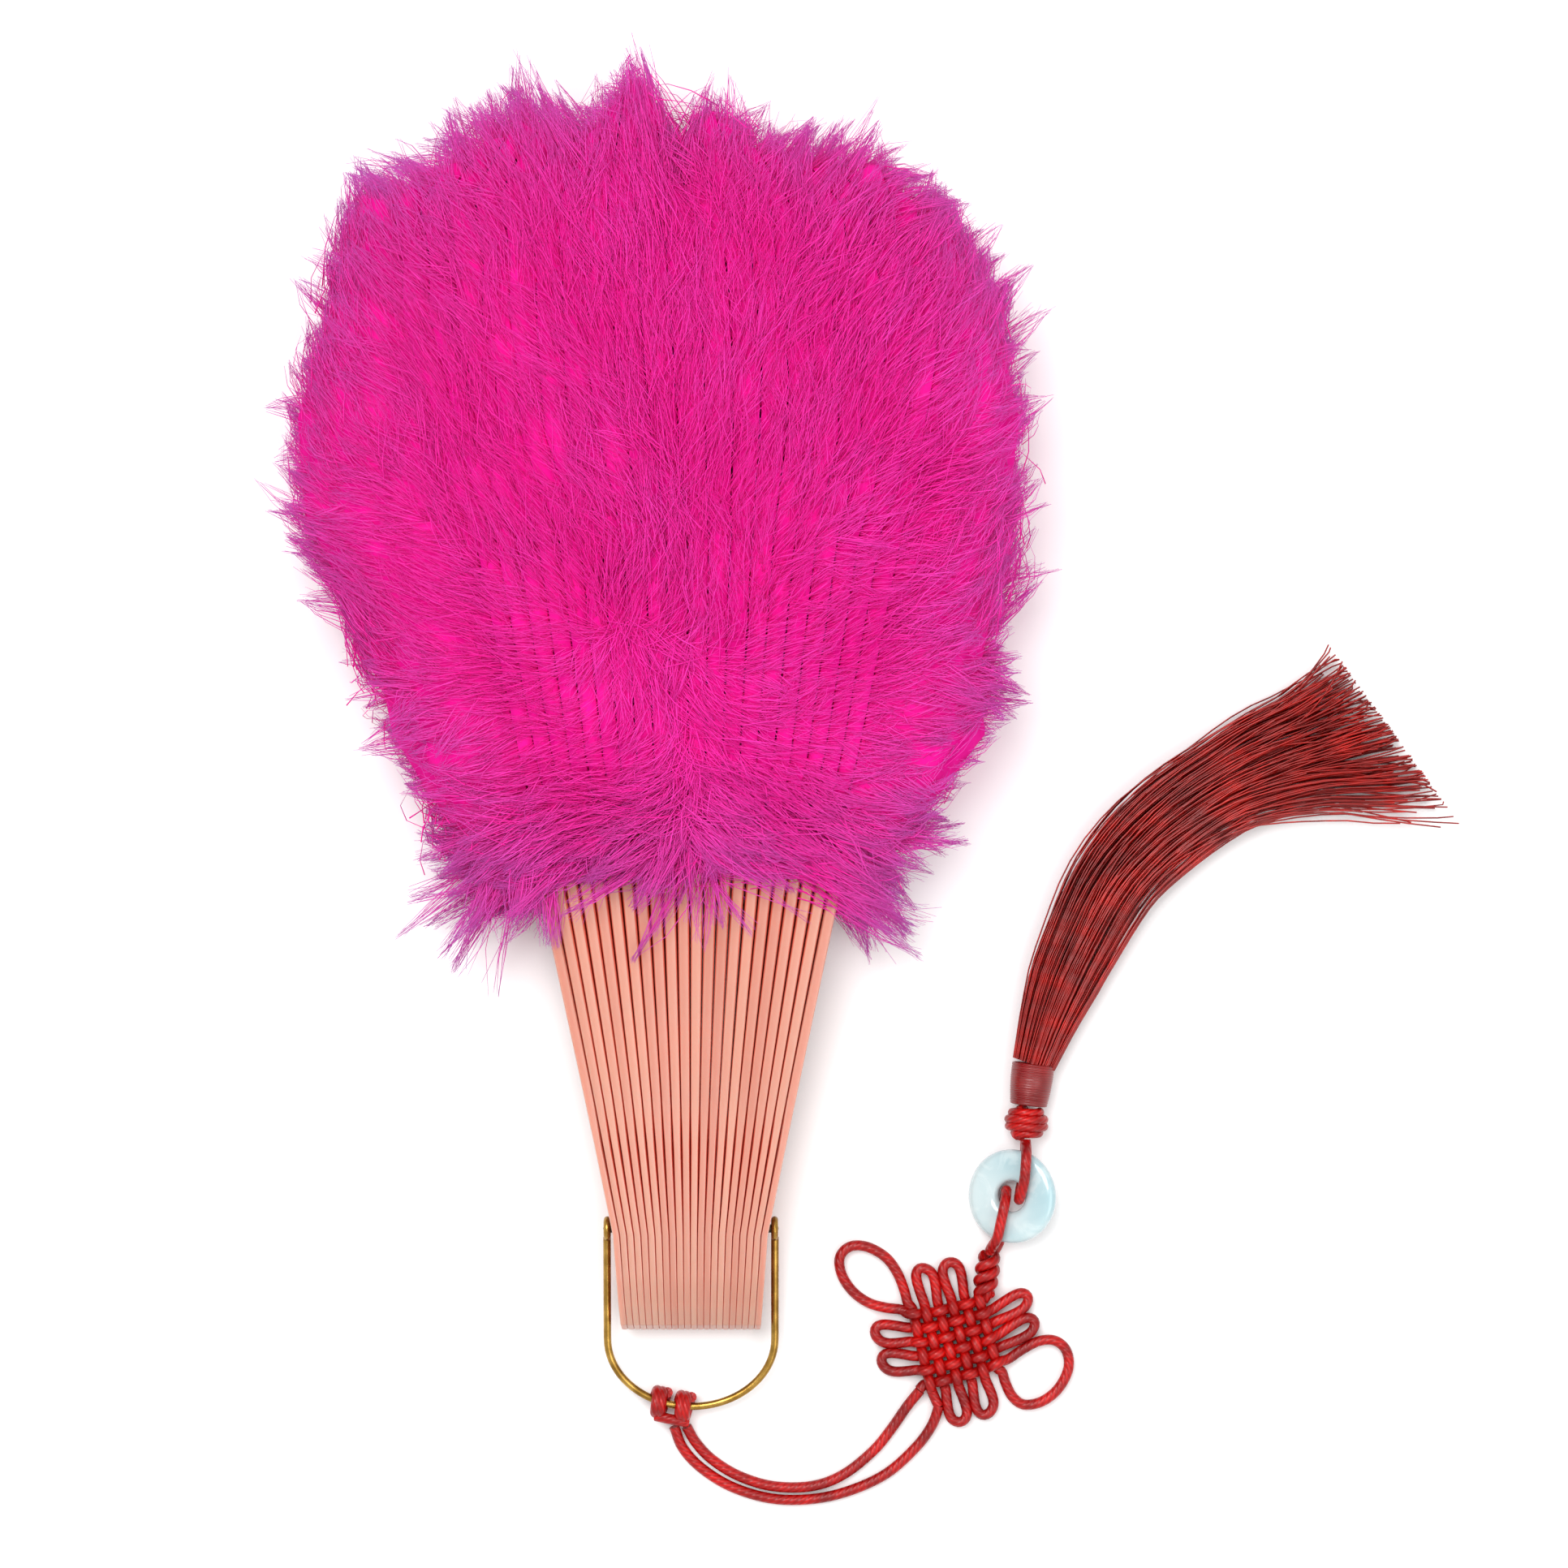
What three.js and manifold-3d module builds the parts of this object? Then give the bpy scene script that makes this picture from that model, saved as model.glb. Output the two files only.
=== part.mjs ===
// Folding feather fan with a tasselled cord, lying closed on its edge.
// Millimetres. X runs along the rivet, Y from the rivet to the feather tips, Z up from the table.

import * as THREE from 'three';
import { mergeVertices } from 'three/addons/utils/BufferGeometryUtils.js';
import Module from 'manifold-3d';

const wasm = await Module();
wasm.setup();

// Staves: thin slats that turn on one rivet and lean apart towards the feathers
const staveCount = 22;
const staveThickness = 1.12;
const staveReach = 150;
const buttReach = 21.4;
const buttRound = 13.4;
const headHalfWidth = 8.5;
const neckReach = 28;
const neckHalfWidth = 6.9;
const tipHalfWidth = 12.7;
const tipCorner = 5;
const packHalfAtButt = 14;
const packHalfAtRivet = 16;
const packHalfAtTip = 46;

// Rivet
const rivetRadius = 0.9;
const rivetClearance = 0.3;
const rivetHeadRadius = 1.6;
const rivetHeadDepth = 0.8;

// Bail: a wire loop with an eye on each end of the rivet
const wireRadius = 0.8;
const bailHalfWidth = 17.5;
const bailLegLength = 23.6;
const bailBowDepth = 14.5;
const eyeRadius = 2.6;
const eyeThickness = 0.75;
const eyePackGap = 0.6;

// Feathers: one tuft for each stave, in layers that turn past each other round the rivet
const featherRoot = 70;
const featherReach = 246;
const featherTipFall = 28;
const featherSpreadLeft = 88.7;
const featherSpreadRight = 74.5;
const featherHalfDepth = 36;
const tuftGap = 0.4;
const sleeveClearance = 0.25;

// Cord and what hangs on it
const cordRadius = 1.1;
const seatGap = 0.3;
const hitchRadius = 3.5;
const hitchWrapWidth = 4.8;
const hitchBoreRadius = 1.5;
const hitchX = -4.1;
const knotHalfSide = 8.6;
const knotThickness = 4.6;
const knotX = 55.2;
const knotY = -24.3;
const smallEarLength = 8.8;
const smallEarWidth = 5.2;
const cornerEarLength = 16.5;
const cornerEarWidth = 15.5;
const bindingRadius = 2.7;
const bindingLength = 8.2;

// Ring
const ringRadius = 9.8;
const ringHoleRadius = 3.2;
const ringThickness = 3;
const ringX = 67.1;
const ringY = 6.5;

// Tassel
const beadRadius = 4.7;
const beadLength = 6.5;
const sleeveRadius = 4.45;
const sleeveLength = 8.8;
const neckX = 69.7;
const neckY = 18.7;
const skirtLength = 108;
const skirtTipWidth = 42;
const skirtDepth = 10.5;

// Angles in degrees, counts and shares
const pitchAngle = 6;
const knotTurn = 14;
const bindingTurn = 8;
const ringTilt = 26;
const neckTurn = 7;
const cordSides = 8;
const cordSteps = 16;
const loopSteps = 22;
const earSides = 6;
const roundSides = 12;
const arcSteps = 3;
const layerSteps = 4;
const cutOverrun = 2;
const tableGap = 0.1;

// Where the layers of feathers are measured, along the staves and then past them, and their widths there
const besideShares = [0, 0.125, 0.435, 0.75, 1];
const beyondShares = [0.23, 0.5, 0.77, 1];
const leftShares = [0.46, 0.61, 0.795, 0.925, 0.987, 1, 0.96, 0.81, 0.52];
const rightShares = [0.51, 0.68, 0.886, 0.987, 1, 1, 0.98, 0.805, 0.456];
const depthShares = [0.43, 0.56, 0.8, 0.94, 1, 1, 0.92, 0.72, 0.42];
const evenShares = [0, 0, 0, 0, 0, 0.24, 0.56, 0.84, 1];
const sideDepthShare = 0.78;
const edgeDepthShare = 0.34;
const outerColumnShares = [0, 0.3, 0.65, 1];
const innerColumnShares = [0, 1];

// The skirt's middle line, as sideways and forward shares of its length, with its widths and depths
const skirtSideShares = [0, 0.036, 0.085, 0.17, 0.302, 0.462, 0.698];
const skirtForwardShares = [0, 0.106, 0.222, 0.375, 0.496, 0.579, 0.64];
const skirtWidthShares = [0.21, 0.32, 0.37, 0.43, 0.47, 0.62, 1];
const skirtDepthShares = [0.84, 0.95, 1, 1, 1, 0.95, 0.7];
const skirtFanAngles = [0, 0, 0, 0, 4, 12, 22];

// Routes of the cord, chosen by hand, X and Y from the rivet and Z from the table
const strandOnePoints = [
  [-1.0, -42.0, 2.4], [0.9, -45.4, 1.5], [4.3, -49.0, 1.25], [9.8, -52.4, 1.25], [17.0, -54.6, 1.25],
  [25.2, -54.6, 1.25], [31.8, -52.2, 1.25], [38.0, -47.3, 1.25], [41.9, -42.6, 1.3], [45.2, -37.8, 1.8],
  [47.9, -34.4, 2.4],
];
const strandTwoPoints = [
  [-3.6, -42.0, 2.4], [-1.8, -46.6, 1.5], [2.2, -50.9, 1.25], [8.6, -54.8, 1.25], [16.8, -57.2, 1.25],
  [25.2, -57.3, 1.25], [33.0, -55.6, 1.25], [40.8, -52.0, 1.25], [47.0, -46.5, 1.3], [50.4, -41.8, 1.8],
  [51.9, -37.6, 2.4],
];
const ringLoopPoints = [
  [62.4, -5.45, 3.9], [62.55, -4.8, 4.3], [63.0, -3.8, 5.8], [63.9, -2.1, 7.8], [64.7, 1.5, 8.3],
  [65.5, 5.3, 8.2], [65.9, 7.7, 5.1], [65.6, 5.4, 2.1], [65.4, 2.0, 1.5], [64.9, -2.2, 1.25],
  [64.1, -4.3, 1.3], [63.3, -5.5, 1.5],
];
const tasselLoopPoints = [
  [69.9, 17.6, 7.6], [69.9, 16.9, 8.8], [69.9, 16.0, 10.0], [69.8, 14.4, 10.9], [69.5, 10.5, 10.8],
  [68.9, 7.6, 9.6], [68.5, 5.8, 6.4], [68.9, 7.6, 3.0], [69.5, 10.5, 2.7], [69.9, 14.6, 2.7],
  [70.0, 18.2, 2.7],
];

const radians = THREE.MathUtils.degToRad;
const pitch = radians(pitchAngle);

// Finishes
const finishes = {
  stave: { color: 0xe8a49a, roughness: 0.35, metalness: 0 },
  feather: { color: 0xe8188c, roughness: 0.9, metalness: 0 },
  rivet: { color: 0x4a4038, roughness: 0.5, metalness: 0.8 },
  brass: { color: 0xa08030, roughness: 0.3, metalness: 1 },
  cord: { color: 0xc81a14, roughness: 0.5, metalness: 0 },
  sleeve: { color: 0x8a0808, roughness: 0.45, metalness: 0 },
  jade: { color: 0xd4ecef, roughness: 0.15, metalness: 0 },
};

// Turns a geometry into a solid that can be joined and cut
function solidOf(geometry) {
  const bare = geometry.clone();
  bare.deleteAttribute('normal');
  bare.deleteAttribute('uv');
  const welded = mergeVertices(bare);
  const vertProperties = new Float32Array(welded.attributes.position.array);
  const triVerts = new Uint32Array(welded.index.array);
  return new wasm.Manifold(new wasm.Mesh({ numProp: 3, vertProperties, triVerts }));
}

// Turns a solid back into a geometry
function geometryOf(solid) {
  const { vertProperties, triVerts } = solid.getMesh();
  const geometry = new THREE.BufferGeometry();
  geometry.setAttribute('position', new THREE.BufferAttribute(vertProperties, 3));
  geometry.setIndex(new THREE.BufferAttribute(triVerts, 1));
  geometry.computeVertexNormals();
  return geometry;
}

// Makes one named piece with a material of its own
function makePiece(name, geometry, finish) {
  const piece = new THREE.Mesh(geometry, new THREE.MeshStandardMaterial(finish));
  piece.name = name;
  return piece;
}

// Six times the signed volume between the origin and a triangle
function signedVolume(vertices, a, b, c) {
  return vertices[a].dot(new THREE.Vector3().crossVectors(vertices[b], vertices[c]));
}

// Skins a row of sections that have the same number of points, and closes both ends
function loft(sections) {
  const count = sections[0].length;
  const vertices = sections.flat();
  const triangles = [];
  for (let ring = 0; ring + 1 < sections.length; ring++) {
    for (let k = 0; k < count; k++) {
      const a = ring * count + k;
      const b = ring * count + (k + 1) % count;
      triangles.push([a, b, b + count], [a, b + count, a + count]);
    }
  }
  [0, sections.length - 1].forEach((ring, end) => {
    const middle = new THREE.Vector3();
    sections[ring].forEach((point) => middle.addScaledVector(point, 1 / count));
    vertices.push(middle);
    for (let k = 0; k < count; k++) {
      const a = ring * count + k;
      const b = ring * count + (k + 1) % count;
      triangles.push(end ? [a, b, vertices.length - 1] : [b, a, vertices.length - 1]);
    }
  });
  const inward = triangles.reduce((sum, [a, b, c]) => sum + signedVolume(vertices, a, b, c), 0) < 0;
  const order = triangles.flatMap(([a, b, c]) => (inward ? [a, c, b] : [a, b, c]));
  const geometry = new THREE.BufferGeometry().setFromPoints(vertices);
  geometry.setIndex(order);
  geometry.computeVertexNormals();
  return geometry;
}

// A regular polygon as a shape
function polygon(radius, sides) {
  const corners = [];
  for (let k = 0; k < sides; k++) {
    const angle = (k + 0.5) * 2 * Math.PI / sides;
    corners.push(new THREE.Vector2(radius * Math.cos(angle), radius * Math.sin(angle)));
  }
  return new THREE.Shape(corners);
}

// A tube along a smooth curve through points
function tube(points, radius, sides, steps) {
  const path = new THREE.CatmullRomCurve3(points.map((point) => new THREE.Vector3(...point)));
  return new THREE.ExtrudeGeometry(polygon(radius, sides), { steps, extrudePath: path });
}

// A cylinder along X
function rodAlongX(radius, length, sides) {
  return new THREE.CylinderGeometry(radius, radius, length, sides).rotateZ(-Math.PI / 2);
}

// A prism along X with its outline given in Y and Z
function prismAlongX(shape, length) {
  const options = { depth: length, bevelEnabled: false, curveSegments: arcSteps };
  const prism = new THREE.ExtrudeGeometry(shape, options);
  const turn = new THREE.Matrix4().makeBasis(
    new THREE.Vector3(0, 1, 0), new THREE.Vector3(0, 0, 1), new THREE.Vector3(1, 0, 0),
  );
  return prism.translate(0, 0, -length / 2).applyMatrix4(turn);
}

// Outline of a stave, seen square to its flat side, with the rivet at its origin
function staveOutline() {
  const headEnd = buttRound - buttReach;
  const shoulder = neckReach / 2;
  const cornerStart = staveReach - tipCorner;
  const outline = new THREE.Shape();
  outline.moveTo(cornerStart, tipHalfWidth);
  outline.lineTo(neckReach, neckHalfWidth);
  outline.quadraticCurveTo(shoulder, headHalfWidth, headEnd, headHalfWidth);
  outline.absellipse(headEnd, 0, buttRound, headHalfWidth, Math.PI / 2, 3 * Math.PI / 2, false);
  outline.quadraticCurveTo(shoulder, -headHalfWidth, neckReach, -neckHalfWidth);
  outline.lineTo(cornerStart, -tipHalfWidth);
  outline.quadraticCurveTo(staveReach, -tipHalfWidth, staveReach, tipCorner - tipHalfWidth);
  outline.lineTo(staveReach, tipHalfWidth - tipCorner);
  outline.quadraticCurveTo(staveReach, tipHalfWidth, cornerStart, tipHalfWidth);
  return outline;
}

// Height of the rivet at which the pitched head just rests on the table
function restHeight() {
  const outline = staveOutline().getPoints(arcSteps);
  return Math.max(...outline.map((point) => -point.x * Math.sin(pitch) - point.y * Math.cos(pitch)));
}

const rivetHeight = restHeight();
const sleeveEnd = staveReach + sleeveClearance;
const staveSide = (index) => 2 * index / (staveCount - 1) - 1;

// Middle of the outermost stave, at a reach from the rivet
function packHalf(reach) {
  const outerFace = reach < 0
    ? packHalfAtRivet + (packHalfAtRivet - packHalfAtButt) * reach / buttReach
    : packHalfAtRivet + (packHalfAtTip - packHalfAtRivet) * reach / staveReach;
  return outerFace - staveThickness / 2;
}

// A strip that follows a stave's lean, wide enough for any outline
function leaningStrip(side, from, to, thickness, halfHeight) {
  const bends = from < 0 ? [from, 0, to] : [from, to];
  const across = (reach, way) => new THREE.Vector2(side * packHalf(reach) + way * thickness / 2, reach);
  const corners = bends.map((reach) => across(reach, 1));
  corners.push(...bends.map((reach) => across(reach, -1)).reverse());
  const options = { depth: 2 * halfHeight, bevelEnabled: false };
  const strip = new THREE.ExtrudeGeometry(new THREE.Shape(corners), options);
  return solidOf(strip.translate(0, 0, -halfHeight));
}

const fullWidth = 2 * (packHalfAtTip + cutOverrun);
const staveBlank = solidOf(prismAlongX(staveOutline(), fullWidth))
  .subtract(solidOf(rodAlongX(rivetRadius + rivetClearance, fullWidth, roundSides)));

// One stave, bored for the rivet
function staveGeometry(index) {
  const from = -buttReach - cutOverrun;
  const to = staveReach + cutOverrun;
  const strip = leaningStrip(staveSide(index), from, to, staveThickness, tipHalfWidth + cutOverrun);
  return geometryOf(staveBlank.intersect(strip));
}

// The room that a stave takes inside its feathers
function staveRoom(index) {
  const halfHeight = tipHalfWidth + sleeveClearance;
  const start = featherRoot - cutOverrun;
  const along = (start - neckReach) / (staveReach - tipCorner - neckReach);
  const rootHalf = THREE.MathUtils.lerp(neckHalfWidth, tipHalfWidth, along) + sleeveClearance;
  const plan = new THREE.Shape([
    new THREE.Vector2(start, -rootHalf), new THREE.Vector2(sleeveEnd - tipCorner, -halfHeight),
    new THREE.Vector2(sleeveEnd, -halfHeight), new THREE.Vector2(sleeveEnd, halfHeight),
    new THREE.Vector2(sleeveEnd - tipCorner, halfHeight), new THREE.Vector2(start, rootHalf),
  ]);
  const width = staveThickness + 2 * sleeveClearance;
  const strip = leaningStrip(staveSide(index), start, sleeveEnd + cutOverrun, width, halfHeight + cutOverrun);
  return solidOf(prismAlongX(plan, fullWidth)).intersect(strip);
}

const stations = [
  ...besideShares.map((share) => THREE.MathUtils.lerp(featherRoot, sleeveEnd, share)),
  ...beyondShares.map((share) => THREE.MathUtils.lerp(sleeveEnd, featherReach, share)),
];

// Straight lines through a table of values at the stations
function alongStations(reach, values) {
  let k = 0;
  while (k < stations.length - 2 && reach > stations[k + 1]) k++;
  const part = (reach - stations[k]) / (stations[k + 1] - stations[k]);
  return THREE.MathUtils.lerp(values[k], values[k + 1], part);
}

// Sideways place of the border between two layers of feathers
function borderAt(border, reach) {
  const left = -featherSpreadLeft * alongStations(reach, leftShares);
  const right = featherSpreadRight * alongStations(reach, rightShares);
  if (border === 0) return left;
  if (border === staveCount) return right;
  const beside = (2 * border - staveCount) / (staveCount - 1) * packHalf(reach);
  const even = left + (right - left) * border / staveCount;
  return THREE.MathUtils.lerp(beside, even, alongStations(reach, evenShares));
}

// Reach at which a stave's feathers end, in a low arch over the whole fan
function tuftTip(index) {
  const middle = (borderAt(index, featherReach) + borderAt(index + 1, featherReach)) / 2;
  const centre = (featherSpreadRight - featherSpreadLeft) / 2;
  const span = (featherSpreadRight + featherSpreadLeft) / 2;
  return featherReach - featherTipFall * ((middle - centre) / (span * leftShares.at(-1))) ** 2;
}

// Depth of the feathers above the middle plane, at a column of a layer
function columnDepth(index, share, reach) {
  const full = featherHalfDepth * alongStations(reach, depthShares);
  const side = 1 - (1 - sideDepthShare) * staveSide(index) ** 2;
  const outer = index === 0 ? 1 - share : share;
  const isOuter = index === 0 || index === staveCount - 1;
  if (!isOuter) return full * side;
  return full * (edgeDepthShare + (side - edgeDepthShare) * Math.sqrt(1 - outer ** 2));
}

// Lower and upper angle of a column round the rivet, kept above the table
function columnAngles(index, share, reach) {
  const half = Math.asin(columnDepth(index, share, reach) / reach);
  const table = Math.asin(-rivetHeight / reach) - pitch;
  return [Math.max(-half, table), half];
}

// A point at a reach and an angle round the rivet
function aroundRivet(x, reach, angle) {
  return new THREE.Vector3(x, reach * Math.cos(angle), reach * Math.sin(angle));
}

// Columns of a layer from its left face to its right face
function layerColumns(index) {
  if (index === 0) return outerColumnShares;
  if (index === staveCount - 1) return outerColumnShares.map((share) => 1 - share).reverse();
  return innerColumnShares;
}

// Section of a stave's feathers at a reach, as a closed ring of points
function tuftSection(index, reach) {
  const left = borderAt(index, reach) + tuftGap / 2;
  const right = borderAt(index + 1, reach) - tuftGap / 2;
  const columns = layerColumns(index).map((share) => {
    const [low, high] = columnAngles(index, share, reach);
    return { x: THREE.MathUtils.lerp(left, right, share), low, high };
  });
  const upFace = (column, step) => {
    const angle = THREE.MathUtils.lerp(column.low, column.high, step / layerSteps);
    return aroundRivet(column.x, reach, angle);
  };
  const steps = Array.from({ length: layerSteps + 1 }, (_, step) => step);
  const between = columns.slice(1, -1);
  return [
    ...steps.map((step) => upFace(columns[0], step)),
    ...between.map((column) => upFace(column, layerSteps)),
    ...steps.map((step) => upFace(columns.at(-1), layerSteps - step)),
    ...between.map((column) => upFace(column, 0)).reverse(),
  ];
}

// Feathers of one stave, with a sleeve for it
function tuftGeometry(index) {
  const tip = tuftTip(index);
  const reaches = [...stations.filter((reach) => reach < tip), tip];
  const sections = reaches.map((reach) => tuftSection(index, reach));
  return geometryOf(solidOf(loft(sections)).subtract(staveRoom(index)));
}

// Rivet with a domed head on each end
function rivetGeometry() {
  const shank = bailHalfWidth + wireRadius - rivetHeadDepth;
  const end = bailHalfWidth + wireRadius;
  const half = [
    [0, end], [rivetHeadRadius / 2, end - rivetHeadDepth / 5], [rivetHeadRadius, shank + rivetHeadDepth / 4],
    [rivetHeadRadius, shank], [rivetRadius, shank],
  ];
  const profile = [...half, ...half.map(([r, x]) => [r, -x]).reverse()].reverse();
  const points = profile.map(([r, x]) => new THREE.Vector2(r, x));
  return new THREE.LatheGeometry(points, roundSides).rotateZ(-Math.PI / 2);
}

// Middle line of the bail's wire, from eye to eye
function bailPath() {
  const path = new THREE.CurvePath();
  const start = (rivetRadius + rivetClearance + eyeRadius) / 2;
  const bow = Array.from({ length: roundSides + 1 }, (_, k) => {
    const angle = Math.PI * (1 + k / roundSides);
    return [bailHalfWidth * Math.cos(angle), -bailLegLength + bailBowDepth * Math.sin(angle), 0];
  });
  const points = [[-bailHalfWidth, -start, 0], ...bow, [bailHalfWidth, -start, 0]];
  for (let k = 0; k + 1 < points.length; k++) {
    path.add(new THREE.LineCurve3(new THREE.Vector3(...points[k]), new THREE.Vector3(...points[k + 1])));
  }
  return path;
}

// One eye of the bail, a flattened loop round the rivet
function eyeSolid(way) {
  const inner = packHalfAtRivet + eyePackGap;
  const disc = rodAlongX(eyeRadius, eyeThickness, roundSides);
  return solidOf(disc.translate(way * (inner + eyeThickness / 2), 0, 0));
}

// Bail: the bowed wire joined to its two eyes, which are bored for the rivet
function bailGeometry() {
  const steps = 3 * roundSides;
  const bow = new THREE.ExtrudeGeometry(polygon(wireRadius, cordSides), { steps, extrudePath: bailPath() });
  const bore = solidOf(rodAlongX(rivetRadius + rivetClearance, fullWidth, roundSides));
  return geometryOf(solidOf(bow).add(eyeSolid(-1)).add(eyeSolid(1)).subtract(bore));
}

// How far from the rivet the hitch holds the wire, and how far the bail droops to lay it on the table
const hitchReach = bailLegLength + bailBowDepth * Math.sqrt(1 - (hitchX / bailHalfWidth) ** 2);
const bailDroop = Math.asin((rivetHeight - hitchRadius - tableGap) / hitchReach);

// A stretch of cord along its route
function cordPiece(name, points, steps) {
  return makePiece(name, tube(points, cordRadius, cordSides, steps), finishes.cord);
}

// Hitch: two wraps of the cord round the wire
function hitchPiece() {
  const bight = hitchRadius - cordRadius;
  const edge = cordRadius / 2;
  const wrap = [
    [hitchBoreRadius, 0], [bight, 0], [hitchRadius, edge], [hitchRadius, hitchWrapWidth - edge],
    [bight + edge, hitchWrapWidth],
  ];
  const other = wrap.slice(0, -1).map(([r, x]) => [r, 2 * hitchWrapWidth - x]).reverse();
  const profile = [...wrap, ...other, wrap[0]].map(([r, x]) => new THREE.Vector2(r, x - hitchWrapWidth));
  const wraps = new THREE.LatheGeometry(profile, roundSides).rotateZ(-Math.PI / 2);
  const piece = makePiece('cord_hitch', wraps, finishes.cord);
  const rise = Math.sqrt(bailHalfWidth ** 2 - hitchX ** 2);
  const height = rivetHeight - hitchReach * Math.sin(bailDroop);
  piece.position.set(hitchX, -hitchReach * Math.cos(bailDroop), height);
  piece.rotation.z = Math.atan2(bailBowDepth * hitchX, bailHalfWidth * rise);
  return piece;
}

// One ear of the knot: a loop of cord that stands out from the knot's side or corner
function earSolid(turn, start, offset, length, width, throat) {
  const half = width / 2 - cordRadius;
  const end = start + length - cordRadius;
  const inset = start - 2 * cordRadius;
  const waist = start + length / 2;
  const points = [[inset, -throat], [waist, -half], [end, 0], [waist, half], [inset, throat]];
  const loop = tube(points.map(([out, side]) => [out, side + offset, 0]), cordRadius, earSides, roundSides);
  return solidOf(loop.rotateZ(turn));
}

// Knot: a flat woven pad with two ears on each side and a large ear on two corners
function knotGeometry() {
  const edge = knotThickness / 4;
  const half = knotHalfSide - edge;
  const cut = half - cordRadius;
  const corners = [
    [half, -cut], [half, cut], [cut, half], [-cut, half], [-half, cut], [-half, -cut], [-cut, -half], [cut, -half],
  ];
  const outline = new THREE.Shape(corners.map(([x, y]) => new THREE.Vector2(x, y)));
  const depth = knotThickness - 2 * edge;
  const options = { depth, bevelThickness: edge, bevelSize: edge, bevelSegments: 1 };
  const pad = new THREE.ExtrudeGeometry(outline, options);
  let knot = solidOf(pad.translate(0, 0, edge - knotThickness / 2));
  const earHalf = (smallEarWidth - 2 * cordRadius) / 2;
  const offset = (smallEarWidth + seatGap) / 2;
  for (let side = 0; side < 4; side++) {
    for (const way of [-1, 1]) {
      const turn = side * Math.PI / 2;
      knot = knot.add(earSolid(turn, knotHalfSide, way * offset, smallEarLength, smallEarWidth, earHalf));
    }
  }
  const corner = (knotHalfSide - cordRadius) * Math.SQRT2;
  for (const turn of [3 * Math.PI / 4, -Math.PI / 4]) {
    knot = knot.add(earSolid(turn, corner, 0, cornerEarLength, cornerEarWidth, cordRadius));
  }
  return geometryOf(knot);
}

// Knot laid flat on the table
function knotPiece() {
  const piece = makePiece('knot', knotGeometry(), finishes.cord);
  piece.position.set(knotX, knotY, knotThickness / 2 + tableGap);
  piece.rotation.z = radians(knotTurn);
  return piece;
}

// Small knot that binds the two cords between the knot and the ring
function bindingPiece() {
  const end = bindingLength / 2;
  const shoulder = bindingRadius * Math.SQRT1_2;
  const profile = [
    [0, -end], [shoulder, -end], [bindingRadius, -end / 2], [bindingRadius, end / 2], [shoulder, end], [0, end],
  ];
  const barrel = new THREE.LatheGeometry(profile.map(([r, y]) => new THREE.Vector2(r, y)), roundSides);
  const away = knotHalfSide * Math.SQRT2 - seatGap;
  const corner = radians(knotTurn) + Math.PI / 4;
  const turn = radians(bindingTurn);
  const piece = makePiece('binding_knot', barrel, finishes.cord);
  const middleX = knotX + away * Math.cos(corner) + end * Math.sin(turn);
  const middleY = knotY + away * Math.sin(corner) + end * Math.cos(turn);
  piece.position.set(middleX, middleY, bindingRadius + tableGap);
  piece.rotation.z = -turn;
  return piece;
}

// Ring: a rounded disc with a hole, which leans on its left edge
function ringPiece() {
  const round = ringThickness / 4;
  const half = ringThickness / 2;
  const profile = [
    [ringHoleRadius, round - half], [ringHoleRadius + round, -half], [ringRadius - round, -half],
    [ringRadius, round - half], [ringRadius, half - round], [ringRadius - round, half],
    [ringHoleRadius + round, half], [ringHoleRadius, half - round], [ringHoleRadius, round - half],
  ];
  const disc = new THREE.LatheGeometry(profile.map(([r, y]) => new THREE.Vector2(r, y)), 2 * roundSides);
  const piece = makePiece('jade_ring', disc.rotateX(Math.PI / 2), finishes.jade);
  const tilt = radians(ringTilt);
  piece.position.set(ringX, ringY, ringRadius * Math.sin(tilt) + half * Math.cos(tilt) + tableGap);
  piece.rotation.y = -tilt;
  return piece;
}

// A round piece of the tassel's neck, between two distances along it
function neckPiece(name, profile, start, finish) {
  const points = profile.map(([r, y]) => new THREE.Vector2(r, y));
  const piece = makePiece(name, new THREE.LatheGeometry(points, roundSides), finish);
  const turn = radians(neckTurn);
  piece.position.set(neckX + start * Math.sin(turn), neckY + start * Math.cos(turn), beadRadius + tableGap);
  piece.rotation.z = -turn;
  return piece;
}

// Bead of wound cord at the end of the neck
function beadPiece() {
  const shoulder = beadRadius * Math.SQRT1_2;
  const profile = [
    [0, 0], [shoulder, 0], [beadRadius, beadLength / 3], [beadRadius, 2 * beadLength / 3], [shoulder, beadLength],
    [0, beadLength],
  ];
  return neckPiece('neck_bead', profile, 0, finishes.cord);
}

// Sleeve wrapped round the gathered strands
function sleevePiece() {
  const profile = [[0, 0], [sleeveRadius, 0], [sleeveRadius, sleeveLength], [0, sleeveLength]];
  return neckPiece('neck_sleeve', profile, beadLength + seatGap, finishes.sleeve);
}

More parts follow.
